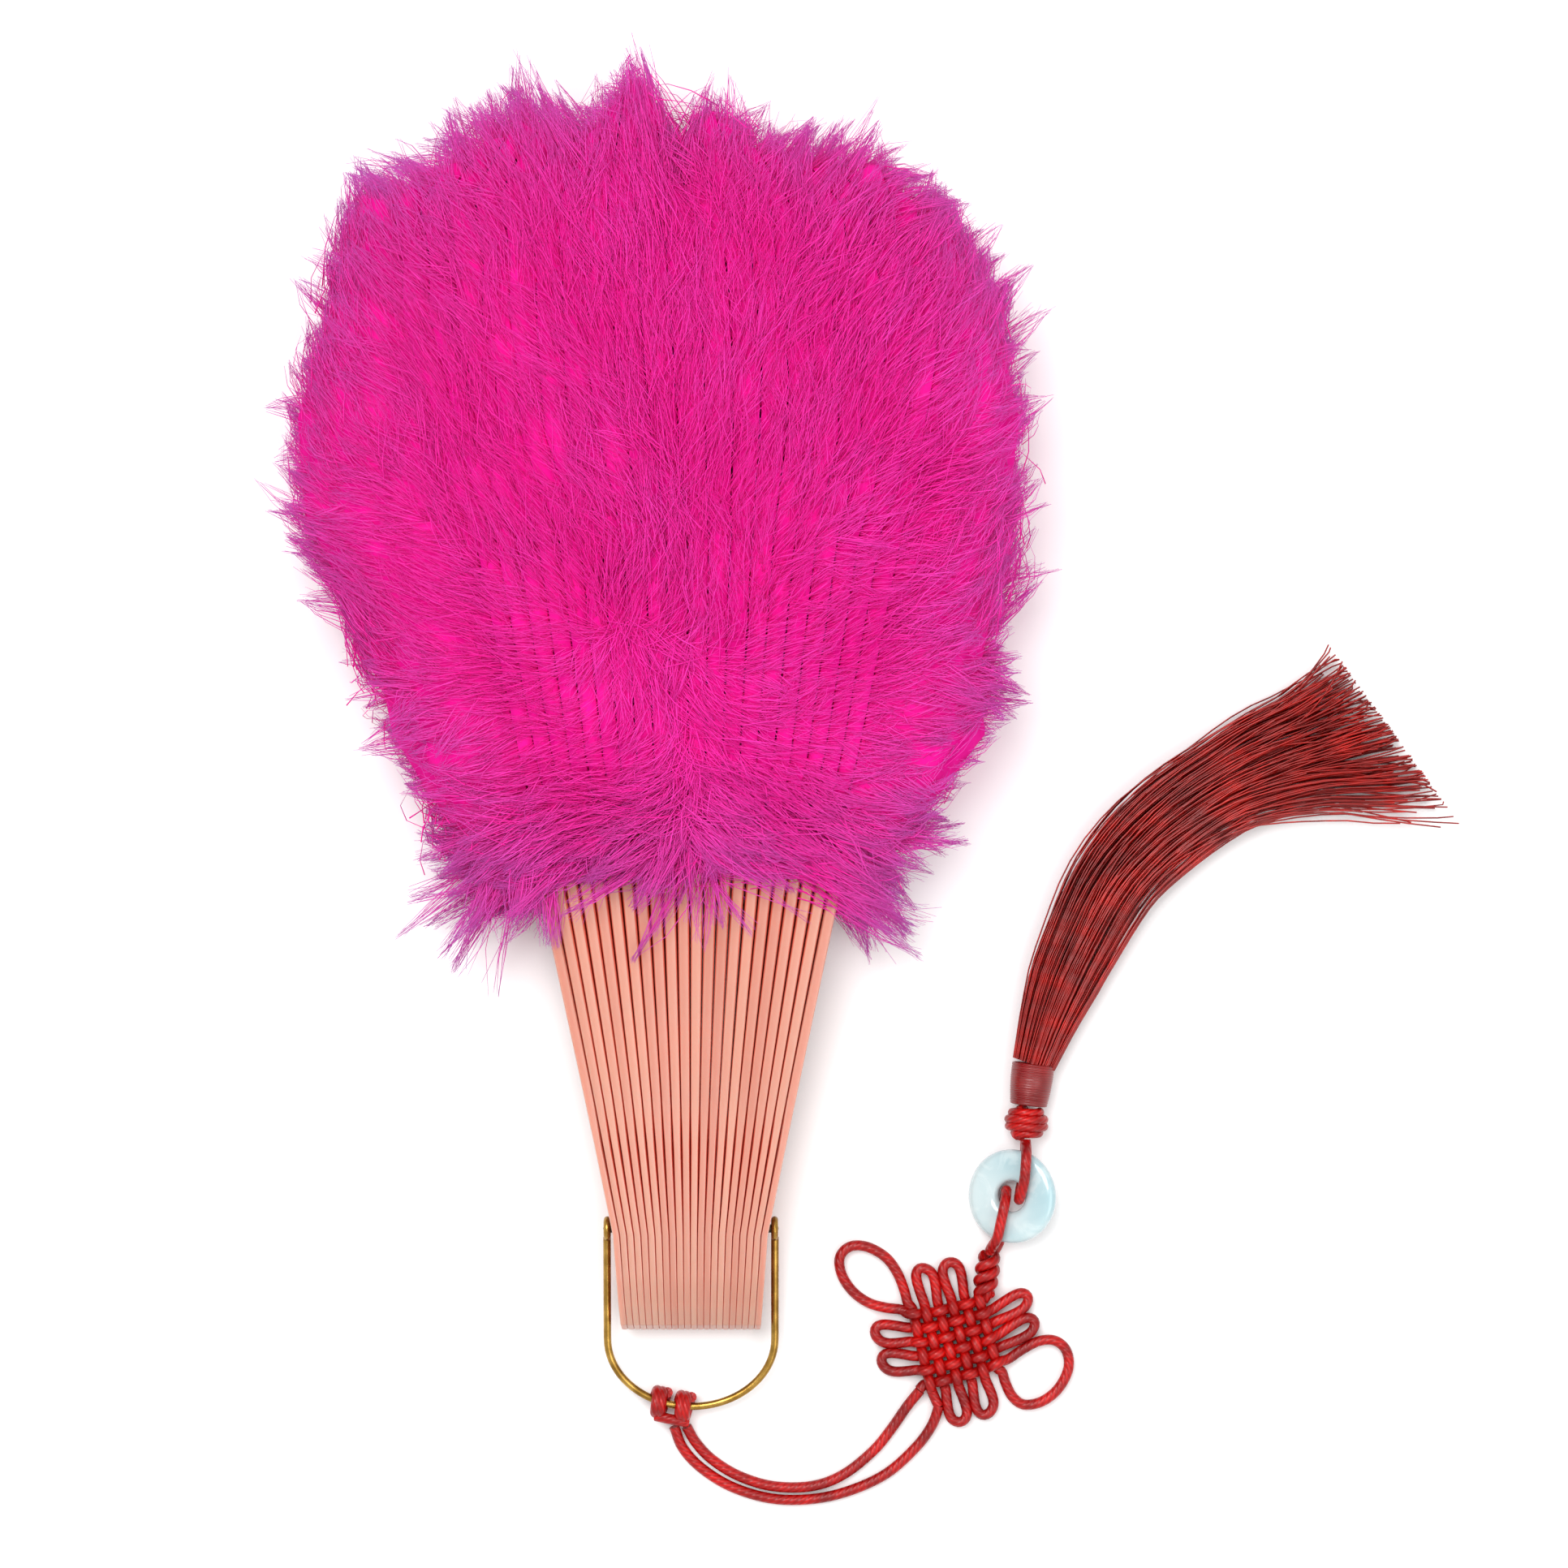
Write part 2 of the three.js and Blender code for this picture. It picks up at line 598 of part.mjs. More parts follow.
// Skirt: the strands, as one curved and widening bundle
function skirtPiece() {
  const start = beadLength + sleeveLength + 2 * seatGap;
  const turn = radians(neckTurn);
  const neckAhead = new THREE.Vector2(Math.sin(turn), Math.cos(turn));
  const root = new THREE.Vector2(neckX, neckY).addScaledVector(neckAhead, start);
  const middles = skirtSideShares.map((side, k) => (
    new THREE.Vector2(side, skirtForwardShares[k]).multiplyScalar(skirtLength).add(root)
  ));
  const sections = middles.map((middle, k) => {
    const before = middles[Math.max(k - 1, 0)];
    const after = middles[Math.min(k + 1, middles.length - 1)];
    const ahead = k === 0 ? neckAhead.clone() : after.clone().sub(before).normalize();
    const heading = ahead.rotateAround(new THREE.Vector2(), radians(skirtFanAngles[k]));
    const halfWidth = skirtTipWidth * skirtWidthShares[k] / 2;
    const halfDepth = skirtDepth * skirtDepthShares[k] / 2;
    return Array.from({ length: roundSides }, (_, step) => {
      const angle = 2 * Math.PI * step / roundSides;
      const across = halfWidth * Math.cos(angle);
      const height = halfDepth * (1 + Math.sin(angle)) + tableGap;
      return new THREE.Vector3(middle.x + heading.y * across, middle.y - heading.x * across, height);
    });
  });
  return makePiece('tassel_skirt', loft(sections), finishes.cord);
}

// Name of a stave by its place, with a guard at each end
function staveName(index) {
  if (index === 0) return 'left_guard';
  if (index === staveCount - 1) return 'right_guard';
  return `rib_${String(index + 1).padStart(2, '0')}`;
}

// Staves, feathers and rivet, pitched so that the head and the feathers rest on the table
function makeFan() {
  const fan = new THREE.Group();
  for (let index = 0; index < staveCount; index++) {
    fan.add(makePiece(staveName(index), staveGeometry(index), finishes.stave));
    const tuftName = `feathers_${String(index + 1).padStart(2, '0')}`;
    fan.add(makePiece(tuftName, tuftGeometry(index), finishes.feather));
  }
  fan.add(makePiece('rivet', rivetGeometry(), finishes.rivet));
  fan.position.z = rivetHeight;
  fan.rotation.x = pitch;
  return fan;
}

// Bail, drooping from the rivet to where the hitch lies on the table
function makeBail() {
  const bail = new THREE.Group();
  bail.add(makePiece('bail', bailGeometry(), finishes.brass));
  bail.position.z = rivetHeight;
  bail.rotation.x = bailDroop;
  return bail;
}

// Cord, knots, ring and tassel
function makePendant() {
  const pendant = new THREE.Group();
  pendant.add(hitchPiece());
  pendant.add(cordPiece('cord_strand_one', strandOnePoints, cordSteps));
  pendant.add(cordPiece('cord_strand_two', strandTwoPoints, cordSteps));
  pendant.add(knotPiece());
  pendant.add(bindingPiece());
  pendant.add(cordPiece('ring_loop', ringLoopPoints, loopSteps));
  pendant.add(ringPiece());
  pendant.add(cordPiece('tassel_loop', tasselLoopPoints, loopSteps));
  pendant.add(beadPiece());
  pendant.add(sleevePiece());
  pendant.add(skirtPiece());
  return pendant;
}

// The whole part, with its origin on the table under the middle of the fan and its bail
const fan = makeFan();
const bail = makeBail();
const group = new THREE.Group();
group.add(fan, bail);
group.updateMatrixWorld(true);
const footprint = new THREE.Box3().setFromObject(group, true).getCenter(new THREE.Vector3());
group.add(makePendant());
group.position.set(-footprint.x, -footprint.y, 0);

export default group;
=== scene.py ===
"""Looks of a closed folding feather fan with its wire bail, red cord, woven knot, stone ring and tassel."""

import logging
import math
from contextlib import contextmanager
from dataclasses import dataclass, field
from enum import Enum
from typing import Iterator, Sequence

import bmesh
import bpy
import numpy as np
from bpy.types import Material, Mesh, Node, NodeSocket, NodeTree, Object
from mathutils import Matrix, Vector


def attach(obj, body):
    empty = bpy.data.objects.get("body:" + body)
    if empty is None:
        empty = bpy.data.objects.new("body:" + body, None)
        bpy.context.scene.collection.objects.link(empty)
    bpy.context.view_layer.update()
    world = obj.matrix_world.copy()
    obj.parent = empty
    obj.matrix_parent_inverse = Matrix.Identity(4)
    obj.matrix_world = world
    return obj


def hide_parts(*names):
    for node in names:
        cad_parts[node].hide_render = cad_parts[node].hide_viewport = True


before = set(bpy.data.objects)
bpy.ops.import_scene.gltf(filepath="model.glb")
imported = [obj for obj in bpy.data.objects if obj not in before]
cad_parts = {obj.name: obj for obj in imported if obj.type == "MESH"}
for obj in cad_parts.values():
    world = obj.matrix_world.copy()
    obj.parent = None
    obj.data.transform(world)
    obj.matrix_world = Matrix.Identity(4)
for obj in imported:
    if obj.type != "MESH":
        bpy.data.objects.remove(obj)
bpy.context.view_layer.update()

log = logging.getLogger("feather_fan")
MM = 0.001
SEED = 41
RIVET = np.array((7.1, -103.66, 9.29)) * MM
FRAME_PIXELS = 1932
PIXEL = 0.17 * MM
CORD_RADIUS = 1.1 * MM
CORD_SIDES = 14
LOOP_STEP = 0.6 * MM
SPAN_STEPS = 16
SLAT_FAR = 35 * MM
SLAT_NEAR = -75 * MM
MERGE_DISTANCE = 1e-6
FLAT_ANGLE = math.radians(1)
SOFTENED_ANGLE = math.radians(25)
WHITE = (1.0, 1.0, 1.0, 1.0)

Pair = tuple[float, float]
Place = tuple[float, float, float]


class Slot(str, Enum):
    """Material slots of the record."""

    STAVE = "stave"
    FEATHER = "feather"
    RIVET = "rivet"
    BRASS = "brass_wire"
    CORD = "cord"
    SLEEVE = "sleeve"
    STONE = "jade"


class Body(str, Enum):
    """Moving bodies that carry more than one piece."""

    ROOT = "root"
    RIGHT_GUARD = "right_guard"
    BAIL = "bail"
    PENDANT = "pendant"
    RING = "jade_ring"
    TASSEL = "tassel"


def table_point(x: float, y: float, z: float) -> np.ndarray:
    """Turns millimetres from the rivet, and above the table, into metres of the frame."""
    return np.array((RIVET[0] + x * MM, RIVET[1] + y * MM, z * MM))


def smooth_path(points: np.ndarray, step: float, closed: bool = False) -> np.ndarray:
    """Runs a smooth curve through points and spaces it evenly.

    Args:
        points: Points in metres, one a row.
        step: Spacing along the curve in metres.
        closed: True where the curve meets its own start.

    Returns:
        The points of the curve.
    """
    count = len(points)
    spans = count if closed else count - 1
    fine = []
    for span in range(spans):
        if closed:
            ends = [points[(span + k) % count] for k in (-1, 0, 1, 2)]
        else:
            first, last = points[span], points[span + 1]
            before = points[span - 1] if span else 2 * first - last
            after = points[span + 2] if span + 2 < count else 2 * last - first
            ends = [before, first, last, after]
        for t in np.linspace(0, 1, SPAN_STEPS, endpoint=False):
            a, b, c, d = ends
            fine.append(0.5 * (2 * b + (c - a) * t + (2 * a - 5 * b + 4 * c - d) * t**2
                               + (3 * b - a - 3 * c + d) * t**3))
    fine.append(points[0] if closed else points[-1])
    fine = np.array(fine)
    run = np.concatenate([[0], np.cumsum(np.linalg.norm(np.diff(fine, axis=0), axis=1))])
    number = max(int(round(run[-1] / step)), 3)
    marks = np.linspace(0, run[-1], number + 1)
    if closed:
        marks = marks[:-1]
    return np.stack([np.interp(marks, run, fine[:, axis]) for axis in range(3)], axis=1)


def path_length(points: np.ndarray) -> float:
    """Length in metres of a run of points."""
    return float(np.linalg.norm(np.diff(points, axis=0), axis=1).sum())


@dataclass
class Run:
    """One run of cord, wire or thread along a path."""

    points: np.ndarray
    closed: bool = False
    girth: np.ndarray | None = None


class Sheet:
    """Adds and joins the nodes of one tree."""

    def __init__(self, tree: NodeTree) -> None:
        """Keeps the tree that the nodes go in."""
        self.tree = tree

    def put(self, kind: str, values: dict | None = None, **settings: object) -> Node:
        """Adds one node.

        Args:
            kind: The node's type.
            values: Input name or number, with a value, or a socket to link from.
            settings: Properties of the node itself.

        Returns:
            The new node.
        """
        node = self.tree.nodes.new(kind)
        for name, value in settings.items():
            setattr(node, name, value)
        for key, value in (values or {}).items():
            if isinstance(value, NodeSocket):
                self.tree.links.new(value, node.inputs[key])
            else:
                node.inputs[key].default_value = value
        return node

    def math(self, operation: str, *values: object) -> NodeSocket:
        """Adds a maths node and returns its result."""
        return self.put("ShaderNodeMath", dict(enumerate(values)), operation=operation).outputs[0]

    def vector(self, operation: str, *values: object) -> NodeSocket:
        """Adds a vector maths node.

        Args:
            operation: Name of the operation.
            values: Its inputs in order. The second one of a scaling is the factor.

        Returns:
            The vector that it gives.
        """
        keys = (0, 3) if operation == "SCALE" else (0, 1, 2)
        node = self.put("ShaderNodeVectorMath", dict(zip(keys, values)), operation=operation)
        return node.outputs[0]

    def blend(self, factor: object, first: object, second: object) -> NodeSocket:
        """Adds a colour mix and returns its colour."""
        node = self.put("ShaderNodeMix", {0: factor, 6: first, 7: second}, data_type="RGBA")
        return node.outputs[2]

    def attribute(self, name: str, output: str = "Fac") -> NodeSocket:
        """Reads a named attribute of the mesh in a shader."""
        return self.put("ShaderNodeAttribute", attribute_name=name).outputs[output]


def colour(code: str) -> tuple[float, float, float, float]:
    """Turns a hexadecimal colour into linear values.

    Args:
        code: Six hexadecimal digits.

    Returns:
        Red, green, blue and full alpha.
    """
    parts = [int(code[k:k + 2], 16) / 255 for k in (0, 2, 4)]
    linear = [p / 12.92 if p <= 0.04045 else ((p + 0.055) / 1.055) ** 2.4 for p in parts]
    return (*linear, 1.0)


def start_tree(kind: str, name: str, inputs: dict, outputs: dict) -> tuple[NodeTree, Sheet, dict, Node]:
    """Starts a node tree with named inputs and outputs.

    Args:
        kind: The tree's type.
        name: Its name.
        inputs: Socket names with their type and first value.
        outputs: Socket names with their type.

    Returns:
        The tree, its sheet, its input sockets by name and its output node.
    """
    tree = bpy.data.node_groups.new(name, kind)
    for label, (socket_kind, value) in inputs.items():
        socket = tree.interface.new_socket(label, in_out="INPUT", socket_type=socket_kind)
        if value is not None:
            socket.default_value = value
    for label, socket_kind in outputs.items():
        tree.interface.new_socket(label, in_out="OUTPUT", socket_type=socket_kind)
    sheet = Sheet(tree)
    entry = sheet.put("NodeGroupInput")
    leave = sheet.put("NodeGroupOutput")
    return tree, sheet, {s.name: s for s in entry.outputs}, leave


def tone_drift_group() -> NodeTree:
    """Builds the soft colour drift that every finish shares.

    Returns:
        A group that mixes two colours by a slow noise.
    """
    group, sheet, given, leave = start_tree(
        "ShaderNodeTree", "tone_drift",
        {"Vector": ("NodeSocketVector", None), "Scale": ("NodeSocketFloat", 60.0),
         "Light": ("NodeSocketColor", None), "Dark": ("NodeSocketColor", None)},
        {"Color": "NodeSocketColor", "Mask": "NodeSocketFloat"},
    )
    noise = sheet.put("ShaderNodeTexNoise", {"Vector": given["Vector"], "Scale": given["Scale"],
                                             "Detail": 3.0})
    spread = sheet.put("ShaderNodeMapRange", {0: noise.outputs[0], 1: 0.32, 2: 0.68})
    mixed = sheet.blend(spread.outputs[0], given["Light"], given["Dark"])
    group.links.new(mixed, leave.inputs["Color"])
    group.links.new(spread.outputs[0], leave.inputs["Mask"])
    return group


def fine_relief_group() -> NodeTree:
    """Builds the small unevenness of lacquer, wire and stone.

    Returns:
        A group that gives a bumped normal.
    """
    group, sheet, given, leave = start_tree(
        "ShaderNodeTree", "fine_relief",
        {"Vector": ("NodeSocketVector", None), "Scale": ("NodeSocketFloat", 900.0),
         "Strength": ("NodeSocketFloat", 0.1)},
        {"Normal": "NodeSocketVector"},
    )
    noise = sheet.put("ShaderNodeTexNoise", {"Vector": given["Vector"], "Scale": given["Scale"],
                                             "Detail": 2.0})
    bump = sheet.put("ShaderNodeBump", {"Strength": given["Strength"], "Distance": 0.0003,
                                        "Height": noise.outputs[0]})
    group.links.new(bump.outputs[0], leave.inputs["Normal"])
    return group


def thread_lay_group() -> NodeTree:
    """Builds the fine slanting threads round a cord or a bound sleeve.

    Returns:
        A group that gives a mask of the threads and a bumped normal.
    """
    group, sheet, given, leave = start_tree(
        "ShaderNodeTree", "thread_lay",
        {"Strands": ("NodeSocketFloat", 6.0), "Pitch": ("NodeSocketFloat", 0.0016),
         "Strength": ("NodeSocketFloat", 0.5)},
        {"Mask": "NodeSocketFloat", "Normal": "NodeSocketVector"},
    )
    lay = sheet.put("ShaderNodeSeparateXYZ", {0: sheet.attribute("lay", "Vector")})
    angle = sheet.math("ARCTAN2", lay.outputs[1], lay.outputs[0])
    run = sheet.math("DIVIDE", sheet.attribute("run"), given["Pitch"])
    phase = sheet.math("ADD", sheet.math("MULTIPLY", angle, given["Strands"]),
                       sheet.math("MULTIPLY", run, 2 * math.pi))
    wave = sheet.math("SINE", phase)
    mask = sheet.put("ShaderNodeMapRange", {0: wave, 1: -1.0, 2: 0.6}).outputs[0]
    bump = sheet.put("ShaderNodeBump", {"Strength": given["Strength"], "Distance": 0.00012, "Height": mask})
    group.links.new(mask, leave.inputs["Mask"])
    group.links.new(bump.outputs[0], leave.inputs["Normal"])
    return group


class Effects:
    """Shader groups that several finishes share, each built once."""

    makers = {"tone_drift": tone_drift_group, "fine_relief": fine_relief_group,
              "thread_lay": thread_lay_group}

    @classmethod
    def put(cls, sheet: Sheet, name: str, values: dict) -> Node:
        """Adds a shared group to a material.

        Args:
            sheet: The sheet of the material.
            name: The group's name.
            values: The group's inputs.

        Returns:
            The group's node.
        """
        group = bpy.data.node_groups.get(name) or cls.makers[name]()
        return sheet.put("ShaderNodeGroup", values, node_tree=group)


@dataclass(frozen=True)
class Finish:
    """A surface finish with two tones and the gloss of its shader.

    Attributes:
        drift: Waves a metre of the drift between the tones.
        relief: Strength of the small unevenness.
        relief_scale: Waves a metre of the small unevenness.
        rough_span: Shares of the roughness in the darker and the lighter tone.
        stretch: Scale of the pattern along the three directions.
    """

    name: str
    light: str
    dark: str
    drift: float = 60.0
    roughness: float = 0.5
    metallic: float = 0.0
    coat: float = 0.0
    coat_roughness: float = 0.12
    sheen: float = 0.0
    sheen_roughness: float = 0.4
    specular: float = 0.5
    relief: float = 0.1
    relief_scale: float = 900.0
    rough_span: Pair = (0.85, 1.2)
    stretch: Place = (1.0, 1.0, 1.0)

    def start(self) -> tuple[Material, Sheet, Node, NodeSocket]:
        """Starts the material.

        Returns:
            The material, its sheet, its shader and the stretched place on the object.
        """
        material = bpy.data.materials.new(self.name)
        material.use_nodes = True
        sheet = Sheet(material.node_tree)
        shader = material.node_tree.nodes["Principled BSDF"]
        for label, value in (
            ("Roughness", self.roughness), ("Metallic", self.metallic), ("Coat Weight", self.coat),
            ("Coat Roughness", self.coat_roughness), ("Sheen Weight", self.sheen),
            ("Sheen Roughness", self.sheen_roughness), ("Specular IOR Level", self.specular),
        ):
            shader.inputs[label].default_value = value
        place = sheet.put("ShaderNodeTexCoord").outputs["Object"]
        mapped = sheet.put("ShaderNodeMapping", {"Vector": place, "Scale": self.stretch}).outputs[0]
        return material, sheet, shader, mapped

    def drifted(self, sheet: Sheet, place: NodeSocket) -> Node:
        """Adds the slow drift between the two tones."""
        return Effects.put(sheet, "tone_drift", {"Vector": place, "Scale": self.drift,
                                                 "Light": colour(self.light), "Dark": colour(self.dark)})

    def uneven(self, sheet: Sheet, shader: Node, place: NodeSocket, drift: Node) -> None:
        """Gives the shader its small relief and uneven gloss.

        Args:
            sheet: The sheet of the material.
            shader: Its shader.
            place: The stretched place on the object.
            drift: The node of the slow drift.
        """
        relief = Effects.put(sheet, "fine_relief", {"Vector": place, "Scale": self.relief_scale,
                                                    "Strength": self.relief})
        least, most = (self.roughness * share for share in self.rough_span)
        rough = sheet.put("ShaderNodeMapRange", {0: drift.outputs["Mask"], 3: least, 4: most})
        sheet.tree.links.new(rough.outputs[0], shader.inputs["Roughness"])
        sheet.tree.links.new(relief.outputs[0], shader.inputs["Normal"])

    @staticmethod
    def let_light_in(shader: Node, weight: float, radius: tuple, scale: float) -> None:
        """Lets light into the surface.

        Args:
            shader: The shader.
            weight: How much of the light goes in.
            radius: How far red, green and blue go, as shares.
            scale: How far a share of one goes, in metres.
        """
        shader.inputs["Subsurface Weight"].default_value = weight
        shader.inputs["Subsurface Radius"].default_value = radius
        shader.inputs["Subsurface Scale"].default_value = scale

    def build(self) -> Material:
        """Makes the material.

        Returns:
            The finished material.
        """
        material, sheet, shader, place = self.start()
        drift = self.drifted(sheet, place)
        self.uneven(sheet, shader, place, drift)
        sheet.tree.links.new(drift.outputs["Color"], shader.inputs["Base Color"])
        return material


@dataclass(frozen=True)
class SlatFinish(Finish):
    """Salmon lacquer over thin slats, a little different from slat to slat, with a painted highlight on the
    rounded edges and painted shade on the flat sides between the slats.

    Attributes:
        warm: Tone of the warmest slats.
        edge: Painted highlight tone of the rounded edges.
        flat: Painted shade tone of the flat sides, deep between the slats.
        warm_share: How far a slat may go to the warm tone.
        edge_share: How far the edges go to their painted highlight.
        painted_gap_shade_share: How far the flat sides go to their painted shade.
    """

    warm: str = "DCA08A"
    edge: str = "ECC0AC"
    flat: str = "EE5238"
    warm_share: float = 0.55
    edge_share: float = 0.5
    painted_gap_shade_share: float = 0.75
    rough_span: Pair = (0.8, 1.3)

    def build(self) -> Material:
        """Makes the material.

        Returns:
            The finished material.
        """
        material, sheet, shader, place = self.start()
        drift = self.drifted(sheet, place)
        tint = drift.outputs["Color"]
        # Painted light: the edge tone is a painted highlight on the rounded edges, and the flat tone is
        # painted shade on the sides between the slats.
        for mask, share, tone in (("tone", self.warm_share, self.warm), ("edge", self.edge_share, self.edge),
                                  ("flat", self.painted_gap_shade_share, self.flat)):
            tint = sheet.blend(sheet.math("MULTIPLY", sheet.attribute(mask), share), tint, colour(tone))
        self.uneven(sheet, shader, place, drift)
        self.let_light_in(shader, 0.6, (1.0, 0.4, 0.3), 0.005)
        sheet.tree.links.new(tint, shader.inputs["Base Color"])
        return material


@dataclass(frozen=True)
class ThreadFinish(Finish):
    """Satin thread laid slanting round a cord, with painted shade in the gaps between the threads.

    Attributes:
        strands: Threads round the cord.
        pitch: Length in which a thread goes on by one place, in metres.
        depth: Strength of the relief.
        shade: How dark the painted shade in the gaps between the threads is.
    """

    strands: float = 6.0
    pitch: float = 0.0016
    depth: float = 0.5
    shade: float = 0.55

    def build(self) -> Material:
        """Makes the material.

        Returns:
            The finished material.
        """
        material, sheet, shader, place = self.start()
        drift = self.drifted(sheet, place)
        lay = Effects.put(sheet, "thread_lay", {"Strands": self.strands, "Pitch": self.pitch,
                                                "Strength": self.depth})
        # Painted shade: the gaps between the threads are darkened towards the dark tone.
        shade = sheet.put("ShaderNodeMapRange", {0: lay.outputs["Mask"], 3: self.shade, 4: 0.0})
        mixed = sheet.blend(shade.outputs[0], drift.outputs["Color"], colour(self.dark))
        sheet.tree.links.new(mixed, shader.inputs["Base Color"])
        sheet.tree.links.new(lay.outputs["Normal"], shader.inputs["Normal"])
        return material


@dataclass(frozen=True)
class BarbFinish(Finish):
    """Dyed barbs, deep at their roots and bright along their length, with painted lilac light on the
    outermost tips, where light shows through the thin fringe.

    Attributes:
        root: Tone of the roots.
        tip: Tone of the painted light on the outermost tips.
        patch_share: How dark the slow patches are.
        root_reach: How far up a barb its root's tone goes.
        root_share: How strong that tone is at the very root.
        tip_power: How late the tip's tone sets in.
    """

    root: str = "FF20A0"
    tip: str = "C46CCB"
    patch_share: float = 0.35
    root_reach: float = 0.45
    root_share: float = 0.75
    tip_power: float = 1.3

    def build(self) -> Material:
        """Makes the material.

        Returns:
            The finished material.
        """
        material, sheet, shader, place = self.start()
        shader.inputs["Sheen Tint"].default_value = colour(self.light)
        drift = self.drifted(sheet, place)
        tone = sheet.attribute("tone")
        along = sheet.attribute("along")
        body = sheet.blend(tone, colour(self.dark), colour(self.light))
        patch = sheet.math("MULTIPLY", drift.outputs["Mask"], self.patch_share)
        body = sheet.blend(patch, body, colour(self.dark))
        rooted = sheet.put("ShaderNodeMapRange", {0: along, 1: 0.0, 2: self.root_reach, 3: self.root_share,
                                                  4: 0.0})
        body = sheet.blend(rooted.outputs[0], body, colour(self.root))
        # Painted light: lilac on the tips near the coat's edge, for light that shows through the thin fringe.
        pale = sheet.math("MULTIPLY", sheet.math("POWER", along, self.tip_power), sheet.attribute("rim"))
        mixed = sheet.blend(pale, body, colour(self.tip))
        sheet.tree.links.new(mixed, shader.inputs["Base Color"])
        return material


@dataclass(frozen=True)
class StoneFinish(Finish):
    """Polished pale stone that lets a little light in.

    Attributes:
        vein: Tone of the veins.
        vein_scale: Waves a metre of the veins.
        vein_span: Where in their noise the veins begin and are full.
        vein_share: How strong they are.
    """

    vein: str = "DCE8E8"
    vein_scale: float = 210.0
    vein_span: Pair = (0.5, 0.62)
    vein_share: float = 0.35

    def build(self) -> Material:
        """Makes the material.

        Returns:
            The finished material.
        """
        material, sheet, shader, place = self.start()
        drift = self.drifted(sheet, place)
        veins = sheet.put("ShaderNodeTexNoise", {"Vector": place, "Scale": self.vein_scale, "Detail": 5.0,
                                                 "Distortion": 1.2})
        least, most = self.vein_span
        vein = sheet.put("ShaderNodeMapRange", {0: veins.outputs[0], 1: least, 2: most, 3: 0.0,
                                                4: self.vein_share})
        mixed = sheet.blend(vein.outputs[0], drift.outputs["Color"], colour(self.vein))
        sheet.tree.links.new(mixed, shader.inputs["Base Color"])
        self.let_light_in(shader, 0.25, (0.9, 1.0, 1.0), 0.003)
        return material


class Finishes:
    """Every finish of the fan, built when it is first asked for."""

    slat = SlatFinish("salmon_lacquer", "D08A78", "C27662", drift=45.0, roughness=0.36, coat=0.2,
                      relief=0.06, relief_scale=420.0, stretch=(1.0, 0.12, 1.0))
    barb = BarbFinish("dyed_barbs", "FF44C4", "F81C9C", drift=40.0, roughness=0.6, specular=0.1, sheen=0.25)
    down = Finish("dyed_down", "F81CA0", "DC1088", drift=160.0, roughness=0.85, specular=0.05,
                  relief=0.9, relief_scale=700.0, stretch=(1.0, 0.35, 1.0))
    cord = ThreadFinish("satin_cord", "CC0C08", "7E0203", drift=180.0, roughness=0.34, specular=0.35)
    thread = ThreadFinish("tassel_thread", "C8180C", "820804", drift=120.0, roughness=0.34, specular=0.5,
                          strands=1.0, pitch=0.004, depth=0.2)
    sleeve = ThreadFinish("bound_sleeve", "9A0A0C", "6A0406", drift=150.0, roughness=0.32, specular=0.6,
                          strands=0.0, pitch=0.0005, depth=0.6)
    brass = Finish("drawn_brass", "B8924A", "86642A", drift=300.0, roughness=0.26, metallic=1.0,
                   relief=0.12, relief_scale=1500.0)
    steel = Finish("dark_rivet", "6A5A48", "3A3028", drift=400.0, roughness=0.4, metallic=0.8,
                   relief=0.25, relief_scale=1600.0)
    stone = StoneFinish("pale_stone", "C8DADC", "9CC0C8", drift=70.0, roughness=0.16, coat=0.6, specular=0.55)

    built: dict[str, Material] = {}

    @classmethod
    def get(cls, finish: Finish) -> Material:
        """Gives the material of a finish.

        Args:
            finish: The finish.

        Returns:
            Its material, made when it is first asked for.
        """
        if finish.name not in cls.built:
            cls.built[finish.name] = finish.build()
        return cls.built[finish.name]


def add_object(name: str, mesh: Mesh) -> Object:
    """Puts a mesh into the scene, unturned and at the origin.

    Args:
        name: Name of the new object.
        mesh: Its mesh.

    Returns:
        The new object.
    """
    piece = bpy.data.objects.new(name, mesh)
    bpy.context.scene.collection.objects.link(piece)
    return piece


def place_piece(piece: Object, body: str, nodes: Sequence[str] = ()) -> Object:
    """Hands a finished piece to the frame.

    Args:
        piece: The finished object.
        body: The body that it moves with.
        nodes: CAD nodes that it stands for.

    Returns:
        The same object.
    """
    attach(piece, body)
    if nodes:
        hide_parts(*nodes)
    faces = sum(len(p.vertices) - 2 for p in piece.data.polygons)
    log.info("%s rides on %s with %d triangles", piece.name, body, faces)
    return piece


